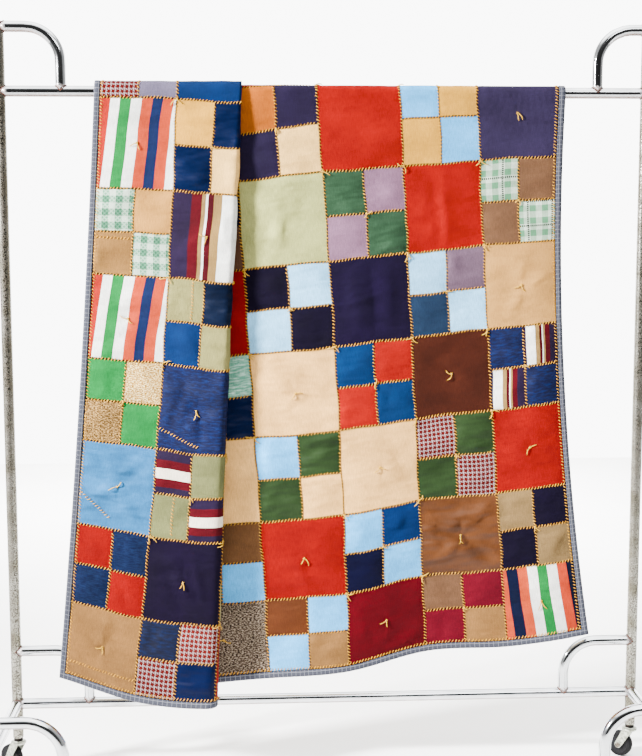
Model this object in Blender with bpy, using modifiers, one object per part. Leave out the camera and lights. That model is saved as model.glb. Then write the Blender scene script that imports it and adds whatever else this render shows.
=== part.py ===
"""A patchwork quilt hung over the top rail of a rolling garment rack.

Metres, +Z up, +X along the rail, and the quilt's long front drop faces -Y.
The model is drawn about the rack (uprights at y = 0, floor at z = 0) and is
carried at the end to the middle of its own footprint.

The quilt is one sheet.  It hangs over the rail with a deep Z-pleat: its left
section lies in front, turns under at the outer fold, runs back to the left as
a hidden middle layer, turns again at the inner fold and comes out beneath as
the main section.
"""

from math import atan2, cos, pi, radians, sin

import bmesh
import bpy
import numpy as np
from mathutils import Matrix, Vector

# --------------------------------------------------------------------------
# Rack
# --------------------------------------------------------------------------
TUBE_R = 0.0127             # one-inch tube
TUBE_SIDES = 12
UPRIGHT_SPACING = 1.524     # between the uprights' axes
TOP_RAIL_Z = 1.647
LOW_RAIL_Z = 0.172
BASE_DEPTH = 0.460          # the front rail stands this far before the uprights
TUBE_FOOT_Z = 0.088         # open foot of every upright tube, over its caster
TUBE_HEAD = 0.0130          # a post stands this much above its brace's axis
JOINT_GAP = 0.0003          # a coped end stays this far off its neighbour
BEND_R = 0.080              # bend of a corner brace, on its axis
BEND_STEPS = 6

# A corner brace leaves its post level, bends down and stands on its rail.
# reach: post axis to the brace's foot.  rise: rail axis to the level run.
BRACES = (
    # name                 side  y            rail z      reach   rise
    ("top_brace_left",      -1,  0.0,         TOP_RAIL_Z, 0.1410, 0.1470),
    ("top_brace_right",      1,  0.0,         TOP_RAIL_Z, 0.1180, 0.1470),
    ("low_brace_left",      -1,  0.0,         LOW_RAIL_Z, 0.1760, 0.1330),
    ("low_brace_right",      1,  0.0,         LOW_RAIL_Z, 0.1720, 0.1330),
    ("front_brace_left",    -1, -BASE_DEPTH,  LOW_RAIL_Z, 0.1780, 0.1280),
    ("front_brace_right",    1, -BASE_DEPTH,  LOW_RAIL_Z, 0.1920, 0.1280),
)

# --------------------------------------------------------------------------
# Casters
# --------------------------------------------------------------------------
WHEEL_R = 0.032             # to the tread's corners; one of its flats is down
WHEEL_SIDES = 24
WHEEL_HALF_TREAD = 0.0100
WHEEL_HALF_HUB = 0.0115
WHEEL_HUB_R = 0.0110
WHEEL_WEB_R = 0.0140
AXLE_R = 0.0032
AXLE_CLEARANCE = 0.0004
AXLE_HEAD_R = 0.0062
AXLE_HEAD = 0.0030
TRAIL = 0.024               # the axle runs this far behind the swivel axis
FORK_INNER = 0.0125         # wheel's middle plane to the inside of a fork leg
FORK_PLATE = 0.0025
FORK_BOSS_R = 0.0075
FORK_HEAD_R = 0.0185
FORK_HEAD_LOW_Z = 0.0715
FORK_HEAD_TOP_Z = 0.0790
COLLAR_R = 0.0110           # black collar between the tube and the fork

SWIVEL = -36.0              # degrees: every wheel trails to the left and back

CASTERS = (
    # name          side  y
    ("rear_left",    -1,  0.0),
    ("rear_right",    1,  0.0),
    ("front_left",   -1, -BASE_DEPTH),
    ("front_right",   1, -BASE_DEPTH),
)

# --------------------------------------------------------------------------
# Quilt: the flat piece
# --------------------------------------------------------------------------
# Finished widths of the nine columns of blocks, left to right.
COLUMN_WIDTHS = (0.180, 0.190, 0.195, 0.195, 0.195, 0.205, 0.195, 0.192, 0.182)
# Heights of the eleven rows, front hem to back hem: the front hem's row was
# cut short, and the rows grow a little towards the rail.
ROW_HEIGHTS = (0.174, 0.188, 0.201, 0.197, 0.201, 0.205, 0.218, 0.200, 0.200, 0.200, 0.200)
BINDING = 0.015             # width of the binding on every edge
THICKNESS = 0.0030          # top, filling and backing together
SEAM_GAP = 0.0003           # between the quilted panel and its binding

# --------------------------------------------------------------------------
# Quilt: how it hangs
# --------------------------------------------------------------------------
RAIL_CLEARANCE = 0.0008     # between the rail and the cloth over it
LAYER_STEP = 0.0042         # from one layer of the pleat to the next
SHEET_OUT = TUBE_R + RAIL_CLEARANCE + THICKNESS / 2
ARC_MEAN = 0.0200           # one arc length serves all the layers over the rail
SPREAD_POWER = 0.70         # how soon the layers open below the rail

# Each row is one line of the cloth that runs from the front hem up to the
# rail.  column: place across the blocks, 0 at the left block edge.
# x: across the rack.  bow: sideways bend at mid height.  hem_z: height of
# the line's first block corner.  ease: drop for each metre of cloth.  lift:
# how much higher than evenly spaced the rows stand at mid height.
# out: distance before the rail's axis.
LINES = (
    # name          column        x               bow     hem_z  ease   lift   out
    #               rail   hem    rail    hem                                  rail                       hem
    ("left_edge",   -0.08, -0.08, -0.542, -0.658, 0.010,  0.264, 0.988, 0.014, SHEET_OUT + 2 * LAYER_STEP, 0.045),
    ("seam_0_1",     1.00,  1.00, -0.351, -0.474, 0.016,  0.209, 1.025, 0.024, SHEET_OUT + 2 * LAYER_STEP, 0.060),
    ("outer_fold",   1.85,  2.08, -0.199, -0.272, -0.003, 0.196, 1.027, 0.020, SHEET_OUT + 2 * LAYER_STEP, 0.085),
    ("inner_fold",   3.46,  3.40, -0.516, -0.484, 0.000,  0.220, 1.021, 0.010, SHEET_OUT,                  0.026),
    ("seam_4_5",     5.00,  5.00, -0.224, -0.141, 0.001,  0.252, 1.015, 0.006, SHEET_OUT,                  0.026),
    ("seam_5_6",     6.00,  6.00, -0.027,  0.052, 0.011,  0.270, 1.021, 0.001, SHEET_OUT,                  0.027),
    ("seam_6_7",     7.00,  7.00,  0.171,  0.246, 0.001,  0.308, 1.000, 0.000, SHEET_OUT,                  0.028),
    ("seam_7_8",     8.00,  8.00,  0.354,  0.453, -0.008, 0.313, 1.004, 0.012, SHEET_OUT,                  0.030),
    ("right_edge",   9.08,  9.08,  0.565,  0.666, -0.043, 0.342, 0.986, 0.016, SHEET_OUT,                  0.032),
)

# Radius of the two turns of the pleat, on the sheet's middle.
TURNS = (
    # name          rail            hem
    ("outer_fold",  LAYER_STEP / 2, 0.020),
    ("inner_fold",  LAYER_STEP / 2, 0.007),
)

# Soft waves down the front and the back.  out is at the rail, half way down
# and at the front hem.
WAVES = (
    # name               column         half   out
    #                    rail   hem     width  rail  middle   hem
    ("hollow_column_0",   0.55,  0.45,  0.55,  0.0,  -0.001, -0.004),
    ("crest_column_5",    5.90,  5.80,  0.95,  0.0,   0.008,  0.028),
    ("hollow_column_7",   7.55,  7.30,  0.80,  0.0,  -0.009, -0.011),
    ("roll_right_edge",   8.70,  8.80,  0.45,  0.0,   0.013,  0.006),
)

# Steps across each layer of the pleat and along the drop.
STEPS_FRONT_LAYER = 12
STEPS_TURN = 5
STEPS_MIDDLE_LAYER = 6
STEPS_MAIN_LAYER = 26
STEPS_FRONT_DROP = 14
STEPS_OVER_RAIL = 6
STEPS_BACK_DROP = 8

# --------------------------------------------------------------------------
# Colours: base colour, roughness, metallic
# --------------------------------------------------------------------------
FINISHES = {
    "quilt_cloth": ((0.46, 0.22, 0.18), 0.90, 0.0),
    "binding_cloth": ((0.30, 0.32, 0.38), 0.90, 0.0),
    "chrome_tube": ((0.62, 0.63, 0.65), 0.18, 1.0),
    "zinc_fork": ((0.55, 0.54, 0.50), 0.35, 1.0),
    "black_collar": ((0.02, 0.02, 0.02), 0.50, 0.0),
    "wheel_rubber": ((0.025, 0.025, 0.028), 0.60, 0.0),
    "axle_steel": ((0.50, 0.50, 0.50), 0.30, 1.0),
}


# --------------------------------------------------------------------------
# Scene helpers
# --------------------------------------------------------------------------
def clear_scene():
    """Remove every object of the open file."""
    for old in list(bpy.data.objects):
        bpy.data.objects.remove(old, do_unlink=True)


def new_collection(name):
    """Add a collection to the scene."""
    collection = bpy.data.collections.new(name)
    bpy.context.scene.collection.children.link(collection)
    return collection


def material(name, finish):
    """One Principled material for one named part."""
    colour, roughness, metallic = FINISHES[finish]
    made = bpy.data.materials.new(name)
    made.use_nodes = True
    shader = made.node_tree.nodes["Principled BSDF"]
    shader.inputs["Base Color"].default_value = (*colour, 1.0)
    shader.inputs["Roughness"].default_value = roughness
    shader.inputs["Metallic"].default_value = metallic
    return made


def add_part(name, mesh, finish, parent):
    """Put a mesh into the model as a named part with its own material."""
    part = bpy.data.objects.new(name, mesh)
    part.parent = parent
    PARTS.objects.link(part)
    if mesh.materials:
        part.material_slots[0].link = "OBJECT"
        part.material_slots[0].material = material(name, finish)
    else:
        mesh.materials.append(material(name, finish))
    return part


def add_cutter(name, mesh, parent=None):
    """Keep a shape that only cuts or joins others, out of the model."""
    cutter = bpy.data.objects.new(name, mesh)
    cutter.parent = parent
    cutter.hide_render = True
    cutter.display_type = "WIRE"
    CUTTERS.objects.link(cutter)
    return cutter


def boolean(part, other, operation):
    """Cut or join one object with another."""
    modifier = part.modifiers.new(f"{operation.lower()} {other.name}", "BOOLEAN")
    modifier.operation = operation
    modifier.solver = "EXACT"
    modifier.object = other


def evaluated_mesh(source):
    """The mesh of an object with its modifiers or curve bevel, welded."""
    graph = bpy.context.evaluated_depsgraph_get()
    mesh = bpy.data.meshes.new_from_object(source.evaluated_get(graph))
    shape = bmesh.new()
    shape.from_mesh(mesh)
    bmesh.ops.remove_doubles(shape, verts=shape.verts, dist=1e-6)
    shape.to_mesh(mesh)
    shape.free()
    return mesh


def cylinder_mesh(name, radius, start, end, sides):
    """A capped cylinder between two points."""
    axis = Vector(end) - Vector(start)
    shape = bmesh.new()
    bmesh.ops.create_cone(
        shape,
        cap_ends=True,
        segments=sides,
        radius1=radius,
        radius2=radius,
        depth=axis.length,
    )
    turn = axis.to_track_quat("Z", "Y").to_matrix().to_4x4()
    place = Matrix.Translation((Vector(start) + Vector(end)) / 2)
    bmesh.ops.transform(shape, matrix=place @ turn, verts=shape.verts)
    mesh = bpy.data.meshes.new(name)
    shape.to_mesh(mesh)
    shape.free()
    return mesh


# --------------------------------------------------------------------------
# Quilt
# --------------------------------------------------------------------------
def column_place(column):
    """Distance from the cloth's left edge to a place in block columns."""
    edges = BINDING + np.concatenate(([0.0], np.cumsum(COLUMN_WIDTHS)))
    first, last = COLUMN_WIDTHS[0], COLUMN_WIDTHS[-1]
    count = len(COLUMN_WIDTHS)
    knots = np.concatenate(([-BINDING / first], np.arange(count + 1), [count + BINDING / last]))
    places = np.concatenate(([0.0], edges, [edges[-1] + BINDING]))
    return np.interp(column, knots, places)


CLOTH_WIDTH = float(column_place(99.0))
CLOTH_LENGTH = sum(ROW_HEIGHTS) + 2 * BINDING
ARC_LENGTH = pi * ARC_MEAN
FULL_DROP = 1.450           # rail axis to the lowest block corner
LINE = {row[0]: row[1:] for row in LINES}
TURN = {row[0]: row[1:] for row in TURNS}


def smooth_through(place, knots, values):
    """A smooth curve through knots: cubic Hermite with finite slopes.

    place is an array, knots and values are lists of arrays or numbers of the
    same shape as place.
    """
    slopes = []
    last = len(knots) - 1
    for i in range(last + 1):
        low, high = max(i - 1, 0), min(i + 1, last)
        slopes.append((values[high] - values[low]) / (knots[high] - knots[low]))
    result = np.zeros_like(place) + values[0]
    for i in range(last):
        span = knots[i + 1] - knots[i]
        u = (place - knots[i]) / span
        curve = (
            values[i] * (1 + 2 * u) * (1 - u) ** 2
            + slopes[i] * span * u * (1 - u) ** 2
            + values[i + 1] * u * u * (3 - 2 * u)
            + slopes[i + 1] * span * u * u * (u - 1)
        )
        result = np.where(place >= knots[i], curve, result)
    return result


def fall(reach):
    """Share of the full drop, 0 at the rail and 1 at the lowest hem."""
    return np.clip(np.abs(reach) / FULL_DROP, 0.0, 1.2)


def line_values(name, reach, front):
    """Cloth place, x and out of one line, at signed distances from the rail.

    reach is the distance down from the rail's front or back tangent, 0 over
    the rail itself; front tells which side.  Behind the rail every line
    hangs plumb.
    """
    column_rail, column_hem, x_rail, x_hem, bow, _, _, _, out_rail, out_hem = LINE[name]
    share = fall(reach)
    down = np.where(front, share, 0.0)
    place = column_place(column_rail + (column_hem - column_rail) * down)
    x = x_rail + (x_hem - x_rail) * down + bow * 4 * down * (1 - down)
    out = out_rail + (out_hem - out_rail) * share ** SPREAD_POWER
    return place, x, out


def line_rail_place(name):
    """Cloth length from the front hem to the rail along one line."""
    hem_z, ease = LINE[name][5], LINE[name][6]
    return BINDING + (TOP_RAIL_Z - hem_z) / ease


def turn_radius(name, share):
    """Radius of one turn of the pleat at a share of the drop."""
    rail, hem = TURN[name]
    return rail + (hem - rail) * share ** SPREAD_POWER


def waves(column, share):
    """Sum of the soft waves: smooth bumps across, eased down the drop."""
    total = np.zeros_like(column)
    for _, centre_rail, centre_hem, width, rail, middle, hem in WAVES:
        centre = centre_rail + (centre_hem - centre_rail) * share
        across = np.exp(-(((column - centre) / width) ** 2))
        down = np.interp(share, (0.0, 0.5, 1.0), (rail, middle, hem))
        total = total + across * down
    return total


def column_of(place):
    """Place in block columns of a distance from the cloth's left edge."""
    columns = np.linspace(-0.10, 9.10, 400)
    return np.interp(place, column_place(columns), columns)


def section_path(reach, front):
    """Knots of the pleat's cross-section at given distances from the rail."""
    share = fall(reach)
    outer_r = turn_radius("outer_fold", share)
    inner_r = turn_radius("inner_fold", share)
    place_o, x_o, out_o = line_values("outer_fold", reach, front)
    place_i, x_i, out_i = line_values("inner_fold", reach, front)
    return {
        "share": share,
        "outer_r": outer_r,
        "inner_r": inner_r,
        "outer_x": x_o - outer_r,
        "outer_out": out_o,
        "inner_x": x_i + inner_r,
        "inner_out": out_i,
        "front_end": place_o - outer_r * pi / 2,
        "middle_start": place_o + outer_r * pi / 2,
        "middle_end": place_i - inner_r * pi / 2,
        "main_start": place_i + inner_r * pi / 2,
    }


def layer_curve(names, place, reach, front, share, swap):
    """x and out along a layer that passes through several lines."""
    knots, xs, outs = [], [], []
    for name in names:
        at, x, out = swap[name] if name in swap else line_values(name, reach, front)
        knots.append(at)
        xs.append(x)
        outs.append(out)
    x = smooth_through(place, knots, xs)
    out = smooth_through(place, knots, outs)
    return x, out + waves(column_of(place), share)


def cross_section(place, reach, front):
    """x and out of the cloth at a place across it, distance from the rail.

    Front layer, half turn, straight middle layer, half turn, main layer.
    """
    path = section_path(reach, front)
    share = path["share"]
    ends = {
        "outer_fold": (path["front_end"], path["outer_x"], path["outer_out"]),
        "inner_fold": (path["main_start"], path["inner_x"], path["inner_out"]),
    }
    front_names = ("left_edge", "seam_0_1", "outer_fold")
    main_names = ("inner_fold", "seam_4_5", "seam_5_6", "seam_6_7", "seam_7_8", "right_edge")
    x_front, out_front = layer_curve(front_names, place, reach, front, share, ends)
    x_main, out_main = layer_curve(main_names, place, reach, front, share, ends)

    wave_o = waves(column_of(path["front_end"]), share)
    wave_i = waves(column_of(path["main_start"]), share)
    low_o = path["outer_out"] + wave_o - 2 * path["outer_r"]
    high_i = path["inner_out"] + wave_i + 2 * path["inner_r"]

    angle = (place - path["front_end"]) / path["outer_r"]
    x_turn_o = path["outer_x"] + path["outer_r"] * np.sin(angle)
    out_turn_o = path["outer_out"] + wave_o - path["outer_r"] * (1 - np.cos(angle))

    along = (place - path["middle_start"]) / (path["middle_end"] - path["middle_start"])
    x_middle = path["outer_x"] + (path["inner_x"] - path["outer_x"]) * along
    out_middle = low_o + (high_i - low_o) * along

    angle = (place - path["middle_end"]) / path["inner_r"]
    x_turn_i = path["inner_x"] - path["inner_r"] * np.sin(angle)
    out_turn_i = high_i - path["inner_r"] * (1 - np.cos(angle))

    steps = (
        place < path["front_end"],
        place < path["middle_start"],
        place < path["middle_end"],
        place < path["main_start"],
    )
    x = np.select(steps, (x_front, x_turn_o, x_middle, x_turn_i), x_main)
    out = np.select(steps, (out_front, out_turn_o, out_middle, out_turn_i), out_main)
    return x, out


def across_lines(place, values):
    """A smooth curve across the cloth through one value for each line."""
    knots = [float(column_place(row[1])) for row in LINES]
    return smooth_through(place, knots, values)


def rail_place(place):
    """Cloth length from the front hem up to the rail, at a place across."""
    return across_lines(place, [line_rail_place(row[0]) for row in LINES])


def hang(place, length):
    """World points of the cloth.

    place: distance from the left edge.  length: distance from the front hem.
    Below the rail the cloth hangs straight at its out distance; over the
    rail it turns a half circle of that radius.
    """
    over = length - rail_place(place)
    front = over < 0
    behind = over > ARC_LENGTH
    ease = across_lines(place, [row[7] for row in LINES])
    reach = np.where(front, -over, np.where(behind, over - ARC_LENGTH, 0.0)) * ease
    x, out = cross_section(place, reach, over < ARC_LENGTH / 2)
    angle = np.clip(over / ARC_MEAN, 0.0, pi)
    y = -out * np.cos(angle)
    share = fall(reach)
    lift = across_lines(place, [row[8] for row in LINES]) * 4 * share * (1 - share)
    z = TOP_RAIL_Z + out * np.sin(angle) - reach + np.where(front, lift, 0.0)
    return np.stack((x, y, z), axis=-1)


def place_steps():
    """Sheet parameter across the whole pleat, one value for each edge line.

    Values 0..1 are the front layer, 1..2 the outer turn, 2..3 the middle
    layer, 3..4 the inner turn and 4..5 the main layer.
    """
    counts = (STEPS_FRONT_LAYER, STEPS_TURN, STEPS_MIDDLE_LAYER, STEPS_TURN, STEPS_MAIN_LAYER)
    steps = [i + np.arange(count) / count for i, count in enumerate(counts)]
    return np.concatenate(steps + [[5.0]])


def sheet_points(first, last, low, high, whole):
    """Grid of world points for one piece of the quilt.

    first..last is the stretch across the cloth, low..high the stretch along
    it.  whole: the piece crosses the pleat, so its columns follow the turns.
    """
    drops = (STEPS_FRONT_DROP, STEPS_OVER_RAIL, STEPS_BACK_DROP)
    rows = np.concatenate([i + np.arange(n) / n for i, n in enumerate(drops)] + [[3.0]])
    if high <= CLOTH_LENGTH / 4 or low >= CLOTH_LENGTH * 3 / 4:
        rows = np.array((0.0, 1.0))
        band = True
    else:
        band = False
    columns = place_steps() if whole else np.array((0.0, 1.0))
    grid_v, grid_u = np.meshgrid(rows, columns, indexing="ij")

    def lengths(place):
        """Cloth length of every grid point, for the places across."""
        if band:
            return low + (high - low) * grid_v
        knee = rail_place(place)
        marks = (low, knee, knee + ARC_LENGTH, high)
        result = marks[0] + (marks[1] - marks[0]) * grid_v
        for i in (1, 2):
            stretch = marks[i] + (marks[i + 1] - marks[i]) * (grid_v - i)
            result = np.where(grid_v > i, stretch, result)
        return result

    if not whole:
        place = first + (last - first) * grid_u
        return hang(place, lengths(place))

    place = np.full_like(grid_u, (first + last) / 2)
    for _ in range(4):
        over = lengths(place) - rail_place(place)
        reach = np.where(over < 0, -over, np.maximum(over - ARC_LENGTH, 0.0))
        ease = across_lines(place, [row[7] for row in LINES])
        path = section_path(reach * ease, over < ARC_LENGTH / 2)
        marks = (
            first,
            path["front_end"],
            path["middle_start"],
            path["middle_end"],
            path["main_start"],
            last,
        )
        place = marks[0] + (marks[1] - marks[0]) * grid_u
        for i in range(1, 5):
            stretch = marks[i] + (marks[i + 1] - marks[i]) * (grid_u - i)
            place = np.where(grid_u > i, stretch, place)
    return hang(place, lengths(place))


def sheet_part(name, finish, first, last, low, high, whole, parent):
    """One piece of the quilt: a grid laid on the hanging cloth, thickened."""
    points = sheet_points(first, last, low, high, whole)
    rows, columns = points.shape[:2]
    shape = bmesh.new()
    bmesh.ops.create_grid(shape, x_segments=columns - 1, y_segments=rows - 1, size=0.5)
    for vert in shape.verts:
        column = round((vert.co.x + 0.5) * (columns - 1))
        row = round((vert.co.y + 0.5) * (rows - 1))
        vert.co = points[row, column]
    mesh = bpy.data.meshes.new(name)
    shape.to_mesh(mesh)
    shape.free()
    mesh.shade_smooth()
    part = add_part(name, mesh, finish, parent)
    solidify = part.modifiers.new("cloth thickness", "SOLIDIFY")
    solidify.thickness = THICKNESS
    solidify.offset = 0.0
    return part


def make_quilt(parent):
    """The quilted panel and the four strips of its binding."""
    inner_left = BINDING + SEAM_GAP
    inner_right = CLOTH_WIDTH - BINDING - SEAM_GAP
    inner_low = BINDING + SEAM_GAP
    inner_high = CLOTH_LENGTH - BINDING - SEAM_GAP
    pieces = (
        # name            finish           first        last         low         high   whole
        ("quilt_panel", "quilt_cloth", inner_left, inner_right, inner_low, inner_high, True),
        ("binding_left", "binding_cloth", 0.0, BINDING, 0.0, CLOTH_LENGTH, False),
        ("binding_right", "binding_cloth", CLOTH_WIDTH - BINDING, CLOTH_WIDTH, 0.0, CLOTH_LENGTH, False),
        ("binding_front", "binding_cloth", inner_left, inner_right, 0.0, BINDING, True),
        ("binding_back", "binding_cloth", inner_left, inner_right, CLOTH_LENGTH - BINDING, CLOTH_LENGTH, True),
    )
    for piece in pieces:
        sheet_part(*piece, parent)


# --------------------------------------------------------------------------
# Rack
# --------------------------------------------------------------------------
def tube_part(name, points, parent):
    """A round tube along a path, its caps welded, ready to be coped."""
    curve = bpy.data.curves.new(f"{name} path", "CURVE")
    curve.dimensions = "3D"
    curve.bevel_depth = TUBE_R
    curve.bevel_resolution = (TUBE_SIDES - 4) // 2
    curve.use_fill_caps = True
    spline = curve.splines.new("POLY")
    spline.points.add(len(points) - 1)
    for knot, point in zip(spline.points, points):
        knot.co = (*point, 1.0)
    path = bpy.data.objects.new(f"{name} path", curve)
    PARTS.objects.link(path)
    mesh = evaluated_mesh(path)
    bpy.data.objects.remove(path, do_unlink=True)
    mesh.name = name
    mesh.materials.clear()
    mesh.shade_smooth()
    mesh.set_sharp_from_angle(angle=radians(40))
    return add_part(name, mesh, "chrome_tube", parent)


def cope_cutter(name, start, end, parent):
    """A cutter round a tube's axis, a joint gap larger than the tube."""
    mesh = cylinder_mesh(name, TUBE_R + JOINT_GAP, start, end, 2 * TUBE_SIDES)
    return add_cutter(name, mesh, parent)


def brace_points(side, y, rail_z, reach, rise):
    """Level run from the post's axis, a quarter bend, down to the rail's axis."""
    post_x = side * UPRIGHT_SPACING / 2
    foot_x = post_x - side * reach
    level_z = rail_z + rise
    centre_x = foot_x + side * BEND_R
    centre_z = level_z - BEND_R
    points = [(post_x, y, level_z)]
    for step in range(BEND_STEPS + 1):
        angle = pi / 2 * step / BEND_STEPS
        points.append((centre_x - side * BEND_R * sin(angle), y, centre_z + BEND_R * cos(angle)))
    points.append((foot_x, y, rail_z))
    return points


def make_rack(parent):
    """Uprights, rails, side legs, front posts and the six corner braces."""
    half = UPRIGHT_SPACING / 2
    head_rise = {(row[1], row[2], row[3]): row[5] for row in BRACES}
    cutters = {}
    ends = []
    for side, end in ((-1, "left"), (1, "right")):
        x = side * half
        ends.append((x, end))
        rear_top = TOP_RAIL_Z + head_rise[(side, 0.0, TOP_RAIL_Z)] + TUBE_HEAD
        front_top = LOW_RAIL_Z + head_rise[(side, -BASE_DEPTH, LOW_RAIL_Z)] + TUBE_HEAD
        for kind, y, top in (("upright", 0.0, rear_top), ("front_post", -BASE_DEPTH, front_top)):
            foot, head = (x, y, TUBE_FOOT_Z), (x, y, top)
            tube_part(f"{kind}_{end}", (foot, head), parent)
            cutters[(side, y)] = cope_cutter(
                f"cope {kind}_{end}", (x, y, 0.0), (x, y, top + TUBE_R), parent
            )

    rails = (
        # name          y            z
        ("top_rail",    0.0,         TOP_RAIL_Z),
        ("low_rail",    0.0,         LOW_RAIL_Z),
        ("front_rail", -BASE_DEPTH,  LOW_RAIL_Z),
    )
    for name, y, z in rails:
        rail = tube_part(name, ((-half, y, z), (half, y, z)), parent)
        boolean(rail, cutters[(-1, y)], "DIFFERENCE")
        boolean(rail, cutters[(1, y)], "DIFFERENCE")
        cutters[(y, z)] = cope_cutter(
            f"cope {name}", (-half - 2 * TUBE_R, y, z), (half + 2 * TUBE_R, y, z), parent
        )

    for side, end in ((-1, "left"), (1, "right")):
        x = side * half
        leg = tube_part(
            f"side_leg_{end}", ((x, 0.0, LOW_RAIL_Z), (x, -BASE_DEPTH, LOW_RAIL_Z)), parent
        )
        for key in ((side, 0.0), (side, -BASE_DEPTH), (0.0, LOW_RAIL_Z), (-BASE_DEPTH, LOW_RAIL_Z)):
            boolean(leg, cutters[key], "DIFFERENCE")

    for name, side, y, rail_z, reach, rise in BRACES:
        brace = tube_part(name, brace_points(side, y, rail_z, reach, rise), parent)
        boolean(brace, cutters[(side, y)], "DIFFERENCE")
        boolean(brace, cutters[(y, rail_z)], "DIFFERENCE")


# --------------------------------------------------------------------------
# Casters
# --------------------------------------------------------------------------
WHEEL_AXLE_Z = WHEEL_R * cos(pi / WHEEL_SIDES)


def turned_mesh(name, profile, sides):
    """A closed profile of (radius, height) points turned about +Z."""
    mesh = bpy.data.meshes.new(f"{name} profile")
    count = len(profile)
    edges = [(i, (i + 1) % count) for i in range(count)]
    mesh.from_pydata([(radius, 0.0, height) for radius, height in profile], edges, [])
    source = add_cutter(f"{name} profile", mesh)
    screw = source.modifiers.new("turn", "SCREW")
    screw.steps = sides
    screw.render_steps = sides
    screw.use_merge_vertices = True
    screw.merge_threshold = 0.00001
    made = evaluated_mesh(source)
    bpy.data.objects.remove(source, do_unlink=True)
    made.name = name
    return made


def face_outwards(mesh):
    """Point every face of a closed mesh outwards."""
    shape = bmesh.new()
    shape.from_mesh(mesh)
    bmesh.ops.recalc_face_normals(shape, faces=shape.faces)
    shape.to_mesh(mesh)
    shape.free()
    mesh.shade_smooth()
    mesh.set_sharp_from_angle(angle=radians(35))
    return mesh


def wheel_mesh():
    """Hub, web and tread in one turned piece, its axle along Y, a flat down."""
    bore = AXLE_R + AXLE_CLEARANCE
    profile = (
        (WHEEL_R, WHEEL_HALF_TREAD),
        (WHEEL_R, -WHEEL_HALF_TREAD),
        (WHEEL_WEB_R, -WHEEL_HALF_TREAD),
        (WHEEL_HUB_R, -WHEEL_HALF_HUB),
        (bore, -WHEEL_HALF_HUB),
        (bore, WHEEL_HALF_HUB),
        (WHEEL_HUB_R, WHEEL_HALF_HUB),
        (WHEEL_WEB_R, WHEEL_HALF_TREAD),
    )
    mesh = turned_mesh("caster wheel", profile, WHEEL_SIDES)
    half_side = Matrix.Rotation(pi / WHEEL_SIDES, 4, "Z")
    lay = Matrix.Rotation(pi / 2, 4, "X")
    place = Matrix.Translation((-TRAIL, 0.0, WHEEL_AXLE_Z))
    mesh.transform(place @ lay @ half_side)
    return face_outwards(mesh)


def fork_leg_mesh(side):
    """One leg: the convex hull of a round boss and the foot of the head."""
    inner = side * FORK_INNER
    outer = side * (FORK_INNER + FORK_PLATE)
    outline = [(0.0095, FORK_HEAD_LOW_Z + 0.003), (-0.0095, FORK_HEAD_LOW_Z + 0.003)]
    for step in range(10):
        angle = 2 * pi * (step + 0.5) / 10
        x = -TRAIL + FORK_BOSS_R * cos(angle)
        outline.append((x, WHEEL_AXLE_Z + FORK_BOSS_R * sin(angle)))
    shape = bmesh.new()
    for y in (inner, outer):
        for x, z in outline:
            shape.verts.new((x, y, z))
    bmesh.ops.convex_hull(shape, input=shape.verts)
    mesh = bpy.data.meshes.new("fork leg")
    shape.to_mesh(mesh)
    shape.free()
    return mesh


def fork_mesh():
    """Swivel head with two legs, bored for the axle."""
    head = cylinder_mesh(
        "caster fork", FORK_HEAD_R, (0, 0, FORK_HEAD_LOW_Z), (0, 0, FORK_HEAD_TOP_Z), TUBE_SIDES
    )
    fork = add_cutter("fork head", head)
    helpers = [add_cutter("fork leg", fork_leg_mesh(side)) for side in (-1, 1)]
    for leg in helpers:
        boolean(fork, leg, "UNION")
    width = FORK_INNER + 2 * FORK_PLATE
    bore = cylinder_mesh(
        "axle bore",
        AXLE_R + AXLE_CLEARANCE,
        (-TRAIL, -width, WHEEL_AXLE_Z),
        (-TRAIL, width, WHEEL_AXLE_Z),
        12,
    )
    helpers.append(add_cutter("axle bore", bore))
    boolean(fork, helpers[-1], "DIFFERENCE")
    mesh = evaluated_mesh(fork)
    for helper in [fork, *helpers]:
        bpy.data.objects.remove(helper, do_unlink=True)
    mesh.name = "caster fork"
    return face_outwards(mesh)


def axle_mesh():
    """A headed axle: shank through the wheel, a flat head at each end."""
    shank = FORK_INNER + FORK_PLATE + JOINT_GAP
    profile = (
        (0.0, shank + AXLE_HEAD),
        (AXLE_HEAD_R, shank + AXLE_HEAD),
        (AXLE_HEAD_R, shank),
        (AXLE_R, shank),
        (AXLE_R, -shank),
        (AXLE_HEAD_R, -shank),
        (AXLE_HEAD_R, -shank - AXLE_HEAD),
        (0.0, -shank - AXLE_HEAD),
    )
    mesh = turned_mesh("caster axle", profile, 12)
    lay = Matrix.Rotation(pi / 2, 4, "X")
    mesh.transform(Matrix.Translation((-TRAIL, 0.0, WHEEL_AXLE_Z)) @ lay)
    return face_outwards(mesh)


def make_casters(parent):
    """Four swivel casters, each turned the way it last rolled."""
    half = UPRIGHT_SPACING / 2
    collar = cylinder_mesh(
        "caster collar",
        COLLAR_R,
        (0, 0, FORK_HEAD_TOP_Z + JOINT_GAP),
        (0, 0, TUBE_FOOT_Z - JOINT_GAP),
        TUBE_SIDES,
    )
    meshes = (
        # piece    mesh            finish
        ("collar", collar,         "black_collar"),
        ("fork",   fork_mesh(),    "zinc_fork"),
        ("wheel",  wheel_mesh(),   "wheel_rubber"),
        ("axle",   axle_mesh(),    "axle_steel"),
    )
    for name, side, y in CASTERS:
        corner = bpy.data.objects.new(f"swivel {name}", None)
        corner.location = (side * half, y, 0.0)
        corner.rotation_euler.z = radians(SWIVEL)
        corner.parent = parent
        PARTS.objects.link(corner)
        for piece, mesh, finish in meshes:
            add_part(f"caster_{piece}_{name}", mesh, finish, corner)


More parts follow.
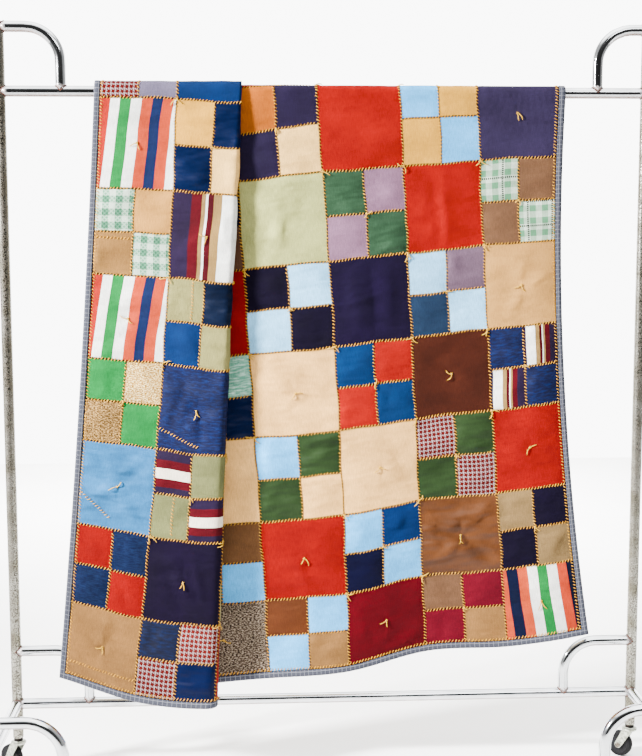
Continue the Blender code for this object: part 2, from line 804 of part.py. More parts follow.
# --------------------------------------------------------------------------
# The whole thing
# --------------------------------------------------------------------------
def footprint_middle():
    """Middle, in plan, of the box round every part."""
    bpy.context.view_layer.update()
    graph = bpy.context.evaluated_depsgraph_get()
    corners = []
    for part in PARTS.objects:
        if part.type == "MESH":
            solid = part.evaluated_get(graph)
            corners += [part.matrix_world @ vert.co for vert in solid.data.vertices]
    points = np.array(corners)
    return (points.min(axis=0) + points.max(axis=0)) / 2


clear_scene()
PARTS = new_collection("quilt_on_rack")
CUTTERS = new_collection("cutters")
rack_middle = bpy.data.objects.new("rack middle", None)
PARTS.objects.link(rack_middle)
make_quilt(rack_middle)
make_rack(rack_middle)
make_casters(rack_middle)
middle = footprint_middle()
rack_middle.location = (-middle[0], -middle[1], 0.0)
bpy.context.view_layer.update()
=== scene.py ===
from math import cos, pi, radians, sin

import bpy
import numpy as np
from mathutils import Matrix, Vector


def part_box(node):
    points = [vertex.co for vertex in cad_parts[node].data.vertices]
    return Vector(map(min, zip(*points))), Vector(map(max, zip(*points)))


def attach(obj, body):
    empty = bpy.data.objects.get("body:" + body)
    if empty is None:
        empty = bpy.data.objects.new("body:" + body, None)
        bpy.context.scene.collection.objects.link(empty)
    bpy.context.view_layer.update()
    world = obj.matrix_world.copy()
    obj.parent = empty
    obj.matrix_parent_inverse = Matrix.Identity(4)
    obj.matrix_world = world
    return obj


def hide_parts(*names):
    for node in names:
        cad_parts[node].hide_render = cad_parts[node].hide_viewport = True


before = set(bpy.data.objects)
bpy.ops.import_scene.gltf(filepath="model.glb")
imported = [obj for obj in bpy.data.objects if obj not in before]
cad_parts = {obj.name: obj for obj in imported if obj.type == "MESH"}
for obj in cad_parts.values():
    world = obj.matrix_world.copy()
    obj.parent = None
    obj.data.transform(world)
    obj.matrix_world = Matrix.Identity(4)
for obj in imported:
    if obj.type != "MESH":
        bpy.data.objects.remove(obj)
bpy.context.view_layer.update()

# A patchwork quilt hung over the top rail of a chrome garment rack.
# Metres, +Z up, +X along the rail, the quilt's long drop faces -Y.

SEED = np.random.default_rng(7)

# ---- Rack sizes, as in the solids
TUBE_R = 0.0127
TOP_RAIL_Z = 1.647
LOW_RAIL_Z = 0.172
HALF_SPAN = 0.762
BASE_DEPTH = 0.460
TUBE_FOOT_Z = 0.088
TUBE_HEAD = 0.0130
BEND_R = 0.080
BRACES = (
    # name                 side  y            rail z      reach   rise
    ("top_brace_left",      -1,  0.0,         TOP_RAIL_Z, 0.1410, 0.1470),
    ("top_brace_right",      1,  0.0,         TOP_RAIL_Z, 0.1180, 0.1470),
    ("low_brace_left",      -1,  0.0,         LOW_RAIL_Z, 0.1760, 0.1330),
    ("low_brace_right",      1,  0.0,         LOW_RAIL_Z, 0.1720, 0.1330),
    ("front_brace_left",    -1, -BASE_DEPTH,  LOW_RAIL_Z, 0.1780, 0.1280),
    ("front_brace_right",    1, -BASE_DEPTH,  LOW_RAIL_Z, 0.1920, 0.1280),
)
CASTERS = (
    # name          side  y
    ("rear_left",    -1,  0.0),
    ("rear_right",    1,  0.0),
    ("front_left",   -1, -BASE_DEPTH),
    ("front_right",   1, -BASE_DEPTH),
)
SWIVEL = radians(-36.0)
TRAIL = 0.024
WHEEL_AXLE_Z = 0.032 * cos(pi / 24)

# The rack's own origin, midway between its uprights, in the part's frame.
left_box, right_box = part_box("upright_left"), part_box("upright_right")
ORIGIN = np.array((
    (left_box[0].x + right_box[1].x) / 2,
    (left_box[0].y + left_box[1].y) / 2,
    0.0,
))

# ---- Quilt sizes, as in the solids
COLUMN_WIDTHS = (0.180, 0.190, 0.195, 0.195, 0.195, 0.205, 0.195, 0.192, 0.182)
ROW_HEIGHTS = (0.174, 0.188, 0.201, 0.197, 0.201, 0.205, 0.218, 0.200, 0.200, 0.200, 0.200)
BINDING = 0.015
HALF_THICK = 0.0015
LAYER_STEP = 0.0042
SHEET_OUT = TUBE_R + 0.0008 + HALF_THICK
FOLDED_OUT = SHEET_OUT + 2 * LAYER_STEP
ARC_MEAN = 0.0200
SPREAD_POWER = 0.70
FULL_DROP = 1.450
FRONT_ROWS = 8
LINES = (
    # name          column        x               bow     hem_z  ease   lift   out
    #               rail   hem    rail    hem                                  rail        hem
    ("left_edge",   -0.08, -0.08, -0.542, -0.658, 0.010,  0.264, 0.988, 0.014, FOLDED_OUT, 0.045),
    ("seam_0_1",     1.00,  1.00, -0.351, -0.474, 0.016,  0.209, 1.025, 0.024, FOLDED_OUT, 0.060),
    ("outer_fold",   1.85,  2.08, -0.199, -0.272, -0.003, 0.196, 1.027, 0.020, FOLDED_OUT, 0.085),
    ("inner_fold",   3.46,  3.40, -0.516, -0.484, 0.000,  0.220, 1.021, 0.010, SHEET_OUT,  0.026),
    ("seam_4_5",     5.00,  5.00, -0.224, -0.141, 0.001,  0.252, 1.015, 0.006, SHEET_OUT,  0.026),
    ("seam_5_6",     6.00,  6.00, -0.027,  0.052, 0.011,  0.270, 1.021, 0.001, SHEET_OUT,  0.027),
    ("seam_6_7",     7.00,  7.00,  0.171,  0.246, 0.001,  0.308, 1.000, 0.000, SHEET_OUT,  0.028),
    ("seam_7_8",     8.00,  8.00,  0.354,  0.453, -0.008, 0.313, 1.004, 0.012, SHEET_OUT,  0.030),
    ("right_edge",   9.08,  9.08,  0.565,  0.666, -0.043, 0.342, 0.986, 0.016, SHEET_OUT,  0.032),
)
TURNS = {
    # name          rail            hem
    "outer_fold": (LAYER_STEP / 2, 0.020),
    "inner_fold": (LAYER_STEP / 2, 0.007),
}
WAVES = (
    # name               column         half   out
    #                    rail   hem     width  rail  middle   hem
    ("hollow_column_0",   0.55,  0.45,  0.55,  0.0,  -0.001, -0.004),
    ("crest_column_5",    5.90,  5.80,  0.95,  0.0,   0.008,  0.028),
    ("hollow_column_7",   7.55,  7.30,  0.80,  0.0,  -0.009, -0.011),
    ("roll_right_edge",   8.70,  8.80,  0.45,  0.0,   0.013,  0.006),
)

# Fine form that the solids leave out, in metres.
DEEPEST = 0.0036            # soft limit on a dip, so that no layer behind shows through
SEAM_DIP = 0.0016           # a seam lies this much below the patches
PUFF = 0.0016               # crown of a small patch; a large one has double
TIE_DIP = 0.0020            # a tie pulls the cloth in this much
DIMPLE = 0.014              # radius of its dimple
CELL_TIE = 0.35             # pull of a four-patch's tie, as a share
RAYS = 0.0006               # puckers that run out from it
RAY_RING = 0.009, 0.042     # from and to this far from it
STRAY = 0.0012              # seams stray this far from straight
STRAY_FADE = 0.12           # and less, this near to the bound edge
RIPPLE = 0.0012             # unevenness of the hanging cloth
FULL_FORM = 0.30            # the form is full this far below the rail
RAIL_FORM = 0.25            # and this share of it is left at the rail
CREASE_GAIN = 2.0           # on the listed creases
# Small creases: how many by parts of a block's side, where in a patch their
# ends lie, half width, height, and the shortest as a share of its width.
SMALL_COUNT = {1: 5, 2: 3}
SMALL_ENDS = 0.04, 0.96
SMALL_HALF = 0.006, 0.014
SMALL_RISE = 0.0015, 0.0034
SMALL_RUN = 0.35

# Large squares without a tie: column, row up from the hem.
UNTIED = ((6, 6), (5, 5), (7, 5), (6, 4))
# The satin square, whose folds may dip deeper: column, row up from the hem.
SATIN_SQUARE = (7, 1)

# Creases: column, row of both ends (rows count down from the first full row
# under the rail), half width and height; a height under 0 is a trough.
CREASES = (
    # what                   from          to            half    height
    ("green cell, upright",  (0.27, 4.03), (0.25, 4.47), 0.0035,  0.0022),
    ("green cell, level",    (0.55, 4.74), (0.97, 4.70), 0.0035,  0.0022),
    ("blue square, slant",   (0.10, 5.70), (0.45, 5.50), 0.0090,  0.0020),
    ("blue square, slant",   (0.55, 5.45), (0.95, 5.15), 0.0100, -0.0022),
    ("blue square, slant",   (0.15, 5.15), (0.42, 5.42), 0.0080, -0.0018),
    ("blue square, slant",   (0.52, 5.58), (0.85, 5.90), 0.0100,  0.0020),
    ("red cell, upright",    (0.27, 6.03), (0.26, 6.46), 0.0035,  0.0020),
    ("navy cell, upright",   (0.75, 6.03), (0.76, 6.47), 0.0035,  0.0020),
    ("red cell, level",      (0.54, 6.76), (0.97, 6.74), 0.0035,  0.0020),
    ("tan square, drawn in", (0.12, 7.25), (0.45, 7.45), 0.0100, -0.0018),
    ("tan square, drawn in", (0.55, 7.52), (0.92, 7.65), 0.0100,  0.0018),
    ("dark square, top",     (1.12, 6.20), (1.48, 6.32), 0.0060,  0.0030),
    ("dark square, top",     (1.10, 6.42), (1.42, 6.38), 0.0070, -0.0028),
    ("dark square, side",    (1.62, 6.25), (1.80, 6.75), 0.0080,  0.0022),
    ("seersucker square",    (1.15, 4.30), (1.75, 4.55), 0.0120, -0.0020),
    ("plum square, fold",    (6.28, 3.08), (6.34, 3.92), 0.0160,  0.0019),
    ("plum square, fold",    (6.52, 3.05), (6.55, 3.95), 0.0120, -0.0015),
    ("plum square, fold",    (6.74, 3.10), (6.72, 3.90), 0.0160,  0.0018),
    ("red square, upright",  (7.38, 2.05), (7.41, 2.95), 0.0130, -0.0022),
    ("red square, beside",   (7.49, 2.05), (7.53, 2.95), 0.0160,  0.0020),
    ("red square, level",    (7.05, 2.62), (7.40, 2.66), 0.0070, -0.0024),
    ("camel cell, pinch",    (7.66, 1.06), (7.69, 1.47), 0.0050, -0.0030),
    ("brown square, slant",  (7.15, 4.25), (7.50, 4.50), 0.0110, -0.0020),
    ("brown square, slant",  (7.58, 4.52), (7.90, 4.82), 0.0110,  0.0018),
    ("bronze, slant",        (7.08, 6.20), (7.45, 6.42), 0.0090,  0.0034),
    ("bronze, slant",        (7.12, 6.36), (7.46, 6.47), 0.0080, -0.0034),
    ("bronze, slant",        (7.52, 6.42), (7.90, 6.12), 0.0100,  0.0032),
    ("bronze, slant",        (7.50, 6.52), (7.88, 6.86), 0.0110, -0.0034),
    ("bronze, slant",        (7.20, 6.88), (7.46, 6.55), 0.0100,  0.0030),
    ("beige square, drawn",  (8.18, 3.30), (8.50, 3.49), 0.0110, -0.0022),
    ("beige square, drawn",  (8.62, 3.52), (8.90, 3.36), 0.0100,  0.0020),
    ("beige square, drawn",  (8.30, 3.85), (8.53, 3.58), 0.0110,  0.0022),
    ("red square, level",    (8.10, 5.80), (8.90, 5.76), 0.0060, -0.0026),
    ("plum square, drawn",   (8.15, 1.30), (8.50, 1.50), 0.0120, -0.0020),
    ("plum square, drawn",   (8.58, 1.55), (8.90, 1.85), 0.0120,  0.0018),
    ("beige, under the tie", (5.30, 4.70), (5.55, 4.53), 0.0100,  0.0016),
    ("beige, under the tie", (5.62, 4.53), (5.88, 4.75), 0.0100, -0.0016),
    ("red, under the tie",   (5.25, 6.35), (5.50, 6.44), 0.0100, -0.0016),
    ("red, over the tie",    (5.56, 6.40), (5.80, 6.20), 0.0100,  0.0016),
    ("maroon, soft",         (6.20, 7.25), (6.50, 7.48), 0.0130, -0.0016),
    ("orange, soft",         (6.30, 1.30), (6.38, 1.90), 0.0150,  0.0018),
    ("sage, soft",           (5.40, 2.15), (5.45, 2.85), 0.0160,  0.0018),
    ("hem roll, left",       (0.02, 7.93), (1.95, 7.93), 0.0070, -0.0014),
)

# Lines of stitching beside those on the seams between the patches.
EXTRA_SEAMS = (
    # where                    from          to
    ("tan square, low",        (0.01, 7.80), (0.99, 7.82)),
    ("khaki cell, upright",    (1.34, 3.03), (1.34, 3.48)),
    ("seersucker, slant",      (1.02, 4.76), (1.58, 4.92)),
    ("sage cell, upright",     (1.28, 5.53), (1.28, 5.97)),
    ("blue square, low",       (0.03, 5.62), (0.45, 5.88)),
    ("tan cell, high",         (0.03, 2.57), (0.47, 2.58)),
)

# ---- Patchwork chart
# One entry a block, left to right: one cloth for a large square, or four
# around a slash, upper pair and lower pair.
CHART = (
    # under the rail, then down the long drop to the hem
    ("brick mauve/hound smoke", "royal", "sky tan/tan sky", "beige", "navy copper/copper navy",
     "orange", "sage plum/plum sage", "beige", "sky maroon/maroon sky"),
    ("awning", "camel navy/navy cream", "forest", "sky mauve/mauve sky", "beige",
     "copper plum/plum cream", "orange", "sky camel/camel sky", "plumrib"),
    ("gingham fawn/umber gingham", "regatta", "beige mauve/navy beige", "royal",
     "sky midnight/tan brown", "sagerib", "fern mauve/mauve fern", "scarlet",
     "window taupe/taupe window"),
    ("awning", "moss teal/royal moss", "beige", "green camel/camel green", "red",
     "midnight ice/ice midnight", "deepplum", "ice lilac/steel ice", "sand"),
    ("bright oat/bran bright", "puckerblue", "navy sky/sky navy", "copper",
     "camel puckermint/sage navy", "beige", "blue tomato/tomato blue", "chocolate",
     "puckerblue regattaback/regattaback puckerblue"),
    ("haze", "regattacross palesage/palesage regattacross", "red", "sky royal/royal sky",
     "beige", "sky olive/olive beige", "beige", "hound olive/olive hound", "red"),
    ("red inkslub/inkslub red", "aubergine", "taupe sage/sage taupe", "green",
     # the upper right of the next entry is tan with painted shade, for the pleat's shadow
     "khaki cinnamon/maroon sky", "red", "sky royal/ink sky", "bronze",
     "khaki midnight/midnight khaki"),
    ("tan", "puckernavy houndlight/hound satin", "orange", "sky navy/navy sky", "tweed",
     "rust sky/sky tan", "maroon", "taupe claret/claret tan", "awningturned"),
    # behind the rail, down to the short drop's hem
    ("navy", "camel sky/sky camel", "tweed", "maroon tan/tan maroon", "sage",
     "sky navy/navy sky", "bran", "taupe olive/olive taupe", "red"),
    ("sky rust/rust sky", "sagerib", "orange blue/blue orange", "chocolate",
     "green beige/beige green", "puckerblue", "mauve plum/plum mauve", "beige",
     "copper navy/navy copper"),
    ("beige", "khaki royal/royal khaki", "red", "window tan/tan window", "royal",
     "claret beige/beige claret", "palesage", "sky forest/forest sky", "orange"),
)

# Cloths of one colour, by their kind.
ONE_COLOUR = {
    "plain": {
        "brick": "#842a1a", "mauve": "#7b5a70", "lilac": "#5c4857", "smoke": "#5c5569",
        "royal": "#001f49", "blue": "#00264f", "steel": "#16273d", "ink": "#02021e",
        "midnight": "#060114", "sky": "#4cadef", "ice": "#8acbf4", "tan": "#805a2f",
        "fawn": "#b5803c", "umber": "#845e2e", "camel": "#cf952c", "beige": "#ecb468",
        "sand": "#b88645", "cream": "#efbe6e", "taupe": "#62442e", "brown": "#4f3322",
        # the #5a3c22 tan on the next line is the tan cloth darkened with painted shade, for a
        # quarter patch in the pleat's shadow
        "cinnamon": "#5a3c22", "copper": "#a8560c", "rust": "#4c2610", "khaki": "#755d39",
        "sage": "#847f52", "moss": "#807b4a", "palesage": "#64663f", "green": "#1a4a30",
        "bright": "#006c2c", "tomato": "#8e0600", "claret": "#5a0216", "plum": "#1a122a",
        "aubergine": "#0a0218",
    },
    "satin": {
        "navy": "#000c2c", "teal": "#030c20", "haze": "#256596", "forest": "#162611",
        "olive": "#213219", "fern": "#27402c", "satin": "#00092c",
    },
    "wool": {
        "chocolate": "#36160c", "red": "#7e0000", "scarlet": "#880200", "orange": "#880300",
        "maroon": "#50000b",
    },
    "lustre": {
        "bronze": "#4f2b10",
    },
    "ribbed": {
        "plumrib": "#282039", "deepplum": "#0e051f", "sagerib": "#a9ab68",
    },
}
CLOTHS = {
    name: (kind, code) for kind, group in ONE_COLOUR.items() for name, code in group.items()
}
# The rest: slub and puckered cloths have a light and a dark yarn or the
# reverse, a tweed its middle, light and dark, and a check its ground first.
# Stripes have their direction, slant and (share of the patch, colour).
CLOTHS.update({
    "inkslub": ("slub", "#0c1c3a", "#040c28"),
    "tweed": ("tweed", "#463a30", "#978672", "#0e0907"),
    "oat": ("tweed", "#b0853e", "#e8d298", "#6a481a"),
    "bran": ("tweed", "#70522a", "#b08c54", "#30200c"),
    "hound": ("hound", "#a08e90", "#4c0604"),
    "houndlight": ("hound", "#a49292", "#580c08"),
    "gingham": ("gingham", "#b9c9b6", "#5f9274", "#2d5c42"),
    "window": ("window", "#558c66", "#c8d6c2", "#07130d"),
    "puckerblue": ("pucker", "#000528", "#001646"),
    "puckernavy": ("pucker", "#00041c", "#001034"),
    "puckermint": ("pucker", "#5a9a80", "#b0d4c2"),
    "awning": ("stripes", "across", 0.10, (
        (0.090, "#9a1c10"), (0.125, "#f0efe8"), (0.145, "#006c2c"), (0.140, "#f0efe8"),
        (0.140, "#ae3a1c"), (0.130, "#0e1b40"), (0.145, "#ae3a1c"), (0.085, "#f0efe8"))),
    "awningturned": ("stripes", "across", -0.06, (
        (0.080, "#ae3a1c"), (0.150, "#040a24"), (0.130, "#b4401e"), (0.135, "#f0efe8"),
        (0.135, "#006c2c"), (0.140, "#f0efe8"), (0.140, "#ae3418"), (0.090, "#03061c"))),
    "regatta": ("stripes", "across", 0.02, (
        (0.245, "#1a0f26"), (0.140, "#44020c"), (0.055, "#85683a"), (0.030, "#f0efe8"),
        (0.010, "#44020c"), (0.070, "#3a020a"), (0.115, "#85683a"), (0.265, "#f0efe8"),
        (0.070, "#1a0f26"))),
    "regattacross": ("stripes", "down", 0.0, (
        (0.160, "#1a0f26"), (0.190, "#44020c"), (0.230, "#efe2cc"), (0.190, "#44020c"),
        (0.230, "#1a0f26"))),
})
CLOTHS["regattaback"] = (*CLOTHS["regatta"][:3], CLOTHS["regatta"][3][::-1])


# ---- Node and mesh helpers
def linear(colour):
    """Linear RGBA of an sRGB hex colour; a number is a linear grey already."""
    if not isinstance(colour, str):
        return (colour, colour, colour, 1.0)
    value = np.array([int(colour[i:i + 2], 16) for i in (1, 3, 5)]) / 255
    value = np.where(value <= 0.04045, value / 12.92, ((value + 0.055) / 1.055) ** 2.4)
    return (*(float(part) for part in value), 1.0)


def feed(slot, value):
    """Give an input its value: a socket to link, a hex colour or a plain value."""
    if isinstance(value, bpy.types.NodeSocket):
        slot.id_data.links.new(value, slot)
    else:
        slot.default_value = linear(value) if isinstance(value, str) else value


def dress(node, **values):
    """Feed a node's inputs by name."""
    for name, value in values.items():
        feed(node.inputs[name.replace("_", " ")], value)


def add(tree, kind, *values, out=None, stops=(), **named):
    """Add a node; its first output in use, or the output or outputs in out.

    values go to the inputs in use, in order.  A name with a capital is an
    input too, any other a setting.  stops are a ramp's (place, colour).
    """
    made = tree.nodes.new("ShaderNode" + kind)
    for name, value in named.items():
        if name.islower():
            setattr(made, name, value)
    for slot, value in zip([slot for slot in made.inputs if slot.enabled], values):
        feed(slot, value)
    dress(made, **{name: value for name, value in named.items() if not name.islower()})
    if stops:
        elements = made.color_ramp.elements
        while len(elements) < len(stops):
            elements.new(1.0)
        for element, (place, colour) in zip(elements, stops):
            element.position = place
            element.color = linear(colour)
    if isinstance(out, tuple):
        return [made.outputs[name] for name in out]
    return made.outputs[out] if out else next((s for s in made.outputs if s.enabled), None)


def new_material(name, **values):
    """A material with values for its Principled shader; its tree and shader."""
    made = bpy.data.materials.new(name)
    made.use_nodes = True
    shader = made.node_tree.nodes["Principled BSDF"]
    dress(shader, **values)
    return made, made.node_tree, shader


def coat(tree, shader, colour, rough, height, strength, depth):
    """Colour, roughness and a bump of a strength and a depth in metres."""
    bump = add(tree, "Bump", Height=height, Strength=strength, Distance=depth)
    dress(shader, Base_Color=colour, Roughness=rough, Normal=bump)


def make_mesh(name, points, faces, materials, uvs=None, indexes=None, smooth=True):
    """A mesh object from arrays: points (n, 3), quads (m, 4), loop uvs by name."""
    mesh = bpy.data.meshes.new(name)
    mesh.vertices.add(len(points))
    mesh.vertices.foreach_set("co", np.asarray(points, np.float32).ravel())
    faces = np.asarray(faces, np.int32)
    mesh.loops.add(faces.size)
    mesh.loops.foreach_set("vertex_index", faces.ravel())
    mesh.polygons.add(len(faces))
    starts = np.arange(0, faces.size, faces.shape[1], dtype=np.int32)
    mesh.polygons.foreach_set("loop_start", starts)
    for made in materials:
        mesh.materials.append(made)
    if indexes is not None:
        mesh.polygons.foreach_set("material_index", np.asarray(indexes, np.int32))
    for key, values in (uvs or {}).items():
        layer = mesh.uv_layers.new(name=key)
        layer.data.foreach_set("uv", np.asarray(values, np.float32).ravel())
    mesh.update(calc_edges=True)
    mesh.validate()
    if smooth:
        mesh.shade_smooth()
    piece = bpy.data.objects.new(name, mesh)
    bpy.context.scene.collection.objects.link(piece)
    return piece


def set_points(piece, name, values):
    """A number for each vertex, for a material's Attribute node."""
    layer = piece.data.attributes.new(name, "FLOAT", "POINT")
    layer.data.foreach_set("value", np.asarray(values, np.float32))


def grid_faces(rows, columns, start=0, wrap_rows=False, wrap_columns=False):
    """Quads of a grid of vertices, numbered along its columns first."""
    i = np.arange(rows if wrap_rows else rows - 1)
    j = np.arange(columns if wrap_columns else columns - 1)
    i, j = np.meshgrid(i, j, indexing="ij")
    i2, j2 = (i + 1) % rows, (j + 1) % columns
    quads = (i * columns + j, i * columns + j2, i2 * columns + j2, i2 * columns + j)
    return np.stack(quads, axis=-1).reshape(-1, 4) + start


def fan_faces(count, start=0):
    """Quads across a ring of an even count of vertices."""
    i = np.arange(count // 2 - 1)
    return np.stack((i, i + 1, count - 2 - i, count - 1 - i), axis=-1) + start


# ---- Cloth materials
THREAD_MM = 0.55            # one thread of plain cotton
RIB_MM = 2.6                # one rib of a ribbed cloth
FOLD_SLANT = 0.65           # of a cloth's slow folds, in radians
WIDE_FOLDS = (0.004, 0.014, 1.0)
# Roughness, weave depth, sheen, gloss and height of slow folds of each kind
# of cloth: cotton and wool scatter light, satin shines along its folds.
FEEL = {
    # kind     rough  weave mm  sheen  gloss  folds mm
    "plain":   (0.88, 0.12,     0.0,   0.06,  11.0),
    "wool":    (0.96, 0.25,     0.02,  0.03,  11.0),
    "slub":    (0.86, 0.18,     0.0,   0.06,  11.0),
    "satin":   (0.50, 0.04,     0.0,   0.045, 22.0),
    "lustre":  (0.48, 0.04,     0.0,   0.12,  60.0),
    "ribbed":  (0.90, 0.60,     0.01,  0.05,  11.0),
    "tweed":   (0.96, 0.50,     0.01,  0.03,  11.0),
    "hound":   (0.90, 0.15,     0.0,   0.05,  11.0),
    "gingham": (0.90, 0.15,     0.0,   0.05,  11.0),
    "window":  (0.90, 0.15,     0.0,   0.05,  11.0),
    "pucker":  (0.74, 0.90,     0.0,   0.10,  11.0),
    "stripes": (0.86, 0.10,     0.0,   0.06,  11.0),
}
# Streaky cloths: noise drawn out for the colour, (place, which colour) on
# its ramp, and noise drawn out for the relief.
STREAKS = {
    "tweed":  ((0.22, 0.42, 1.0), ((0.41, 2), (0.48, 0), (0.52, 0), (0.58, 1)), (0.25, 0.45, 1.0)),
    "slub":   ((0.06, 0.50, 1.0), ((0.42, 1), (0.60, 0)), (0.25, 0.45, 1.0)),
    "pucker": ((0.05, 0.22, 1.0), ((0.45, 0), (0.66, 1)), (0.05, 0.28, 1.0)),
}
# Checked cloths: size of the check in mm, share of it that a band takes.
CHECKS = {"hound": (10.6, 0.68), "gingham": (31.0, 0.52), "window": (30.0, 0.50)}


def cloth_place(tree):
    """Millimetres across and along the cloth: vector, x and y sockets."""
    flat = add(tree, "UVMap", uv_map="cloth")
    place = add(tree, "VectorMath", flat, 1000.0, operation="SCALE")
    return place, *add(tree, "SeparateXYZ", place, out=("X", "Y"))


def repeat(tree, value, period, share):
    """1 in the first share of each period along a coordinate, else 0."""
    turn = add(tree, "Math", value, period, operation="FLOORED_MODULO")
    return add(tree, "Math", turn, period * share, operation="LESS_THAN")


def stripes(tree, way, slant, bands):
    """Bands across or down the patch, slanted by a share of it."""
    patch = add(tree, "SeparateXYZ", add(tree, "UVMap", uv_map="patch"), out=("X", "Y"))
    along, beside = patch if way == "across" else patch[::-1]
    centred = add(tree, "Math", beside, 0.5, operation="SUBTRACT")
    where = add(tree, "Math", centred, -slant, along, operation="MULTIPLY_ADD")
    widths, codes = zip(*bands)
    made = add(tree, "ValToRGB", where, stops=list(zip(np.cumsum((0.0, *widths)), codes)))
    made.node.color_ramp.interpolation = "CONSTANT"
    return made


def checks(tree, kind, spec, x, y):
    """Houndstooth, gingham with a pale lattice, or a dashed windowpane."""
    size, share = CHECKS[kind]
    warp, weft = (repeat(tree, value, size, share) for value in (x, y))
    if kind == "hound":
        slant = add(tree, "Math", x, y, operation="ADD")
        twill = repeat(tree, slant, size / 2, 0.5)
        dark = add(tree, "Mix", twill, warp, weft, data_type="FLOAT")
        return add(tree, "Mix", dark, *spec, data_type="RGBA")
    both = add(tree, "Math", warp, weft, operation="ADD")
    half = add(tree, "Math", both, 0.5, operation="MULTIPLY")
    if kind == "gingham":
        slants = [add(tree, "Math", x, y, operation=way) for way in ("ADD", "SUBTRACT")]
        slants = [repeat(tree, slant, size / 3, 0.36) for slant in slants]
        lattice = add(tree, "Math", *slants, operation="MAXIMUM")
        depth = add(tree, "Math", lattice, -0.26, half, operation="MULTIPLY_ADD")
        return add(tree, "ValToRGB", depth, stops=list(zip((0.0, 0.5, 1.0), spec)))
    ground = add(tree, "Mix", half, spec[1], spec[0], data_type="RGBA")
    lines = []
    for value, other in ((x, y), (y, x)):
        shifted = add(tree, "Math", value, 7.0, operation="ADD")
        line, dash = repeat(tree, shifted, 2 * size, 0.075), repeat(tree, other, 5.0, 0.62)
        lines.append(add(tree, "Math", line, dash, operation="MULTIPLY"))
    dark = add(tree, "Math", *lines, operation="MAXIMUM")
    return add(tree, "Mix", dark, ground, spec[2], data_type="RGBA")


def cloth_material(name, kind, *spec):
    """One cloth: its colour, tonal clouds, fibres, painted shade along its seams, weave bump and
    puckers.
    """
    rough, weave, sheen, gloss, folds = FEEL[kind]
    made, tree, shader = new_material(
        f"cloth {name}", Sheen_Weight=sheen, Sheen_Roughness=0.5, Specular_IOR_Level=gloss
    )
    place, x, y = cloth_place(tree)
    if kind == "stripes":
        colour = stripes(tree, *spec)
    elif kind in CHECKS:
        colour = checks(tree, kind, spec, x, y)
    elif kind in STREAKS:
        drawn = add(tree, "Mapping", place, Scale=STREAKS[kind][0])
        streaks = add(tree, "TexNoise", drawn, Scale=1.0, Detail=3.0, Roughness=0.6)
        colour = add(tree, "ValToRGB", streaks, stops=[(at, spec[k]) for at, k in STREAKS[kind][1]])
    else:
        colour = spec[0]
    # wear and soil as wide as a hand, fibres a thread wide, and drawn slubs
    clouds = add(tree, "TexNoise", place, Scale=0.012, Detail=4.0)
    fibres = add(tree, "TexNoise", place, Scale=0.55, Detail=2.0)
    drawn = add(tree, "Mapping", place, Scale=(0.45, 0.07, 1.0))
    slubs = add(tree, "TexNoise", drawn, Scale=1.0, Detail=2.0)
    for noise, low, grey, high in (
        (clouds, 0.30, "#d2d2d2", 0.70),
        (fibres, 0.30, "#dedede", 0.68),
        (slubs, 0.32, "#e4e4e4", 0.66),
    ):
        tone = add(tree, "ValToRGB", noise, stops=((low, grey), (high, "#ffffff")))
        colour = add(tree, "Mix", 1.0, colour, tone, data_type="RGBA", blend_type="MULTIPLY")
    # painted shade: the colour runs to dark brown on the seams, standing for the shadow in the
    # seam's groove
    seam = add(tree, "Attribute", attribute_name="seam", out="Fac")
    seam_shade = add(tree, "MapRange", seam, 0.15, 0.55, 0.0, 0.92)
    colour = add(tree, "Mix", seam_shade, colour, "#1a0c06", data_type="RGBA")
    # slanting folds two fingers wide, thread relief, and ribs or puckers
    scale = WIDE_FOLDS if kind == "lustre" else (0.007, 0.024, 1.0)
    slanted = add(tree, "Mapping", place, Rotation=(0.0, 0.0, FOLD_SLANT), Scale=scale)
    creases = add(tree, "TexNoise", slanted, Scale=1.0, Detail=2.0, Roughness=0.45)
    if kind in STREAKS:
        drawn = add(tree, "Mapping", place, Scale=STREAKS[kind][2])
        ribs = add(tree, "TexNoise", drawn, Scale=1.4, Detail=3.0)
    else:
        pitch = RIB_MM if kind == "ribbed" else THREAD_MM
        ribs = add(
            tree, "TexWave", place, Scale=0.314 / pitch, Distortion=0.4,
            bands_direction="X", out="Fac",
        )
    height = add(tree, "Math", creases, folds, operation="MULTIPLY")
    height = add(tree, "Math", ribs, weave, height, operation="MULTIPLY_ADD")
    height = add(tree, "Math", fibres, 0.12, height, operation="MULTIPLY_ADD")
    uneven = add(tree, "MapRange", clouds, 0.0, 1.0, max(rough - 0.08, 0.3), min(rough + 0.06, 1.0))
    coat(tree, shader, colour, uneven, height, 1.0, 0.001)
    return made


def binding_material():
    """Grey cotton with a thin white windowpane, cut on the straight."""
    made, tree, shader = new_material("binding checked cotton", Specular_IOR_Level=0.06)
    place, x, y = cloth_place(tree)
    lines = [repeat(tree, value, 11.0, 0.10) for value in (x, y)]
    check = add(tree, "Math", *lines, operation="MAXIMUM")
    drawn = add(tree, "Mapping", place, Scale=(1.2, 0.30, 1.0))
    slubs = add(tree, "TexNoise", drawn, Scale=1.0, Detail=3.0)
    grey = add(tree, "ValToRGB", slubs, stops=((0.35, "#272931"), (0.65, "#3d3f48")))
    soft = add(tree, "Math", check, 0.55, operation="MULTIPLY")
    colour = add(tree, "Mix", soft, grey, "#7e7e86", data_type="RGBA")
    weave = add(tree, "TexNoise", place, Scale=0.9, Detail=2.0)
    rough = add(tree, "MapRange", slubs, 0.0, 1.0, 0.80, 0.95)
    coat(tree, shader, colour, rough, weave, 0.5, 0.0004)
    return made


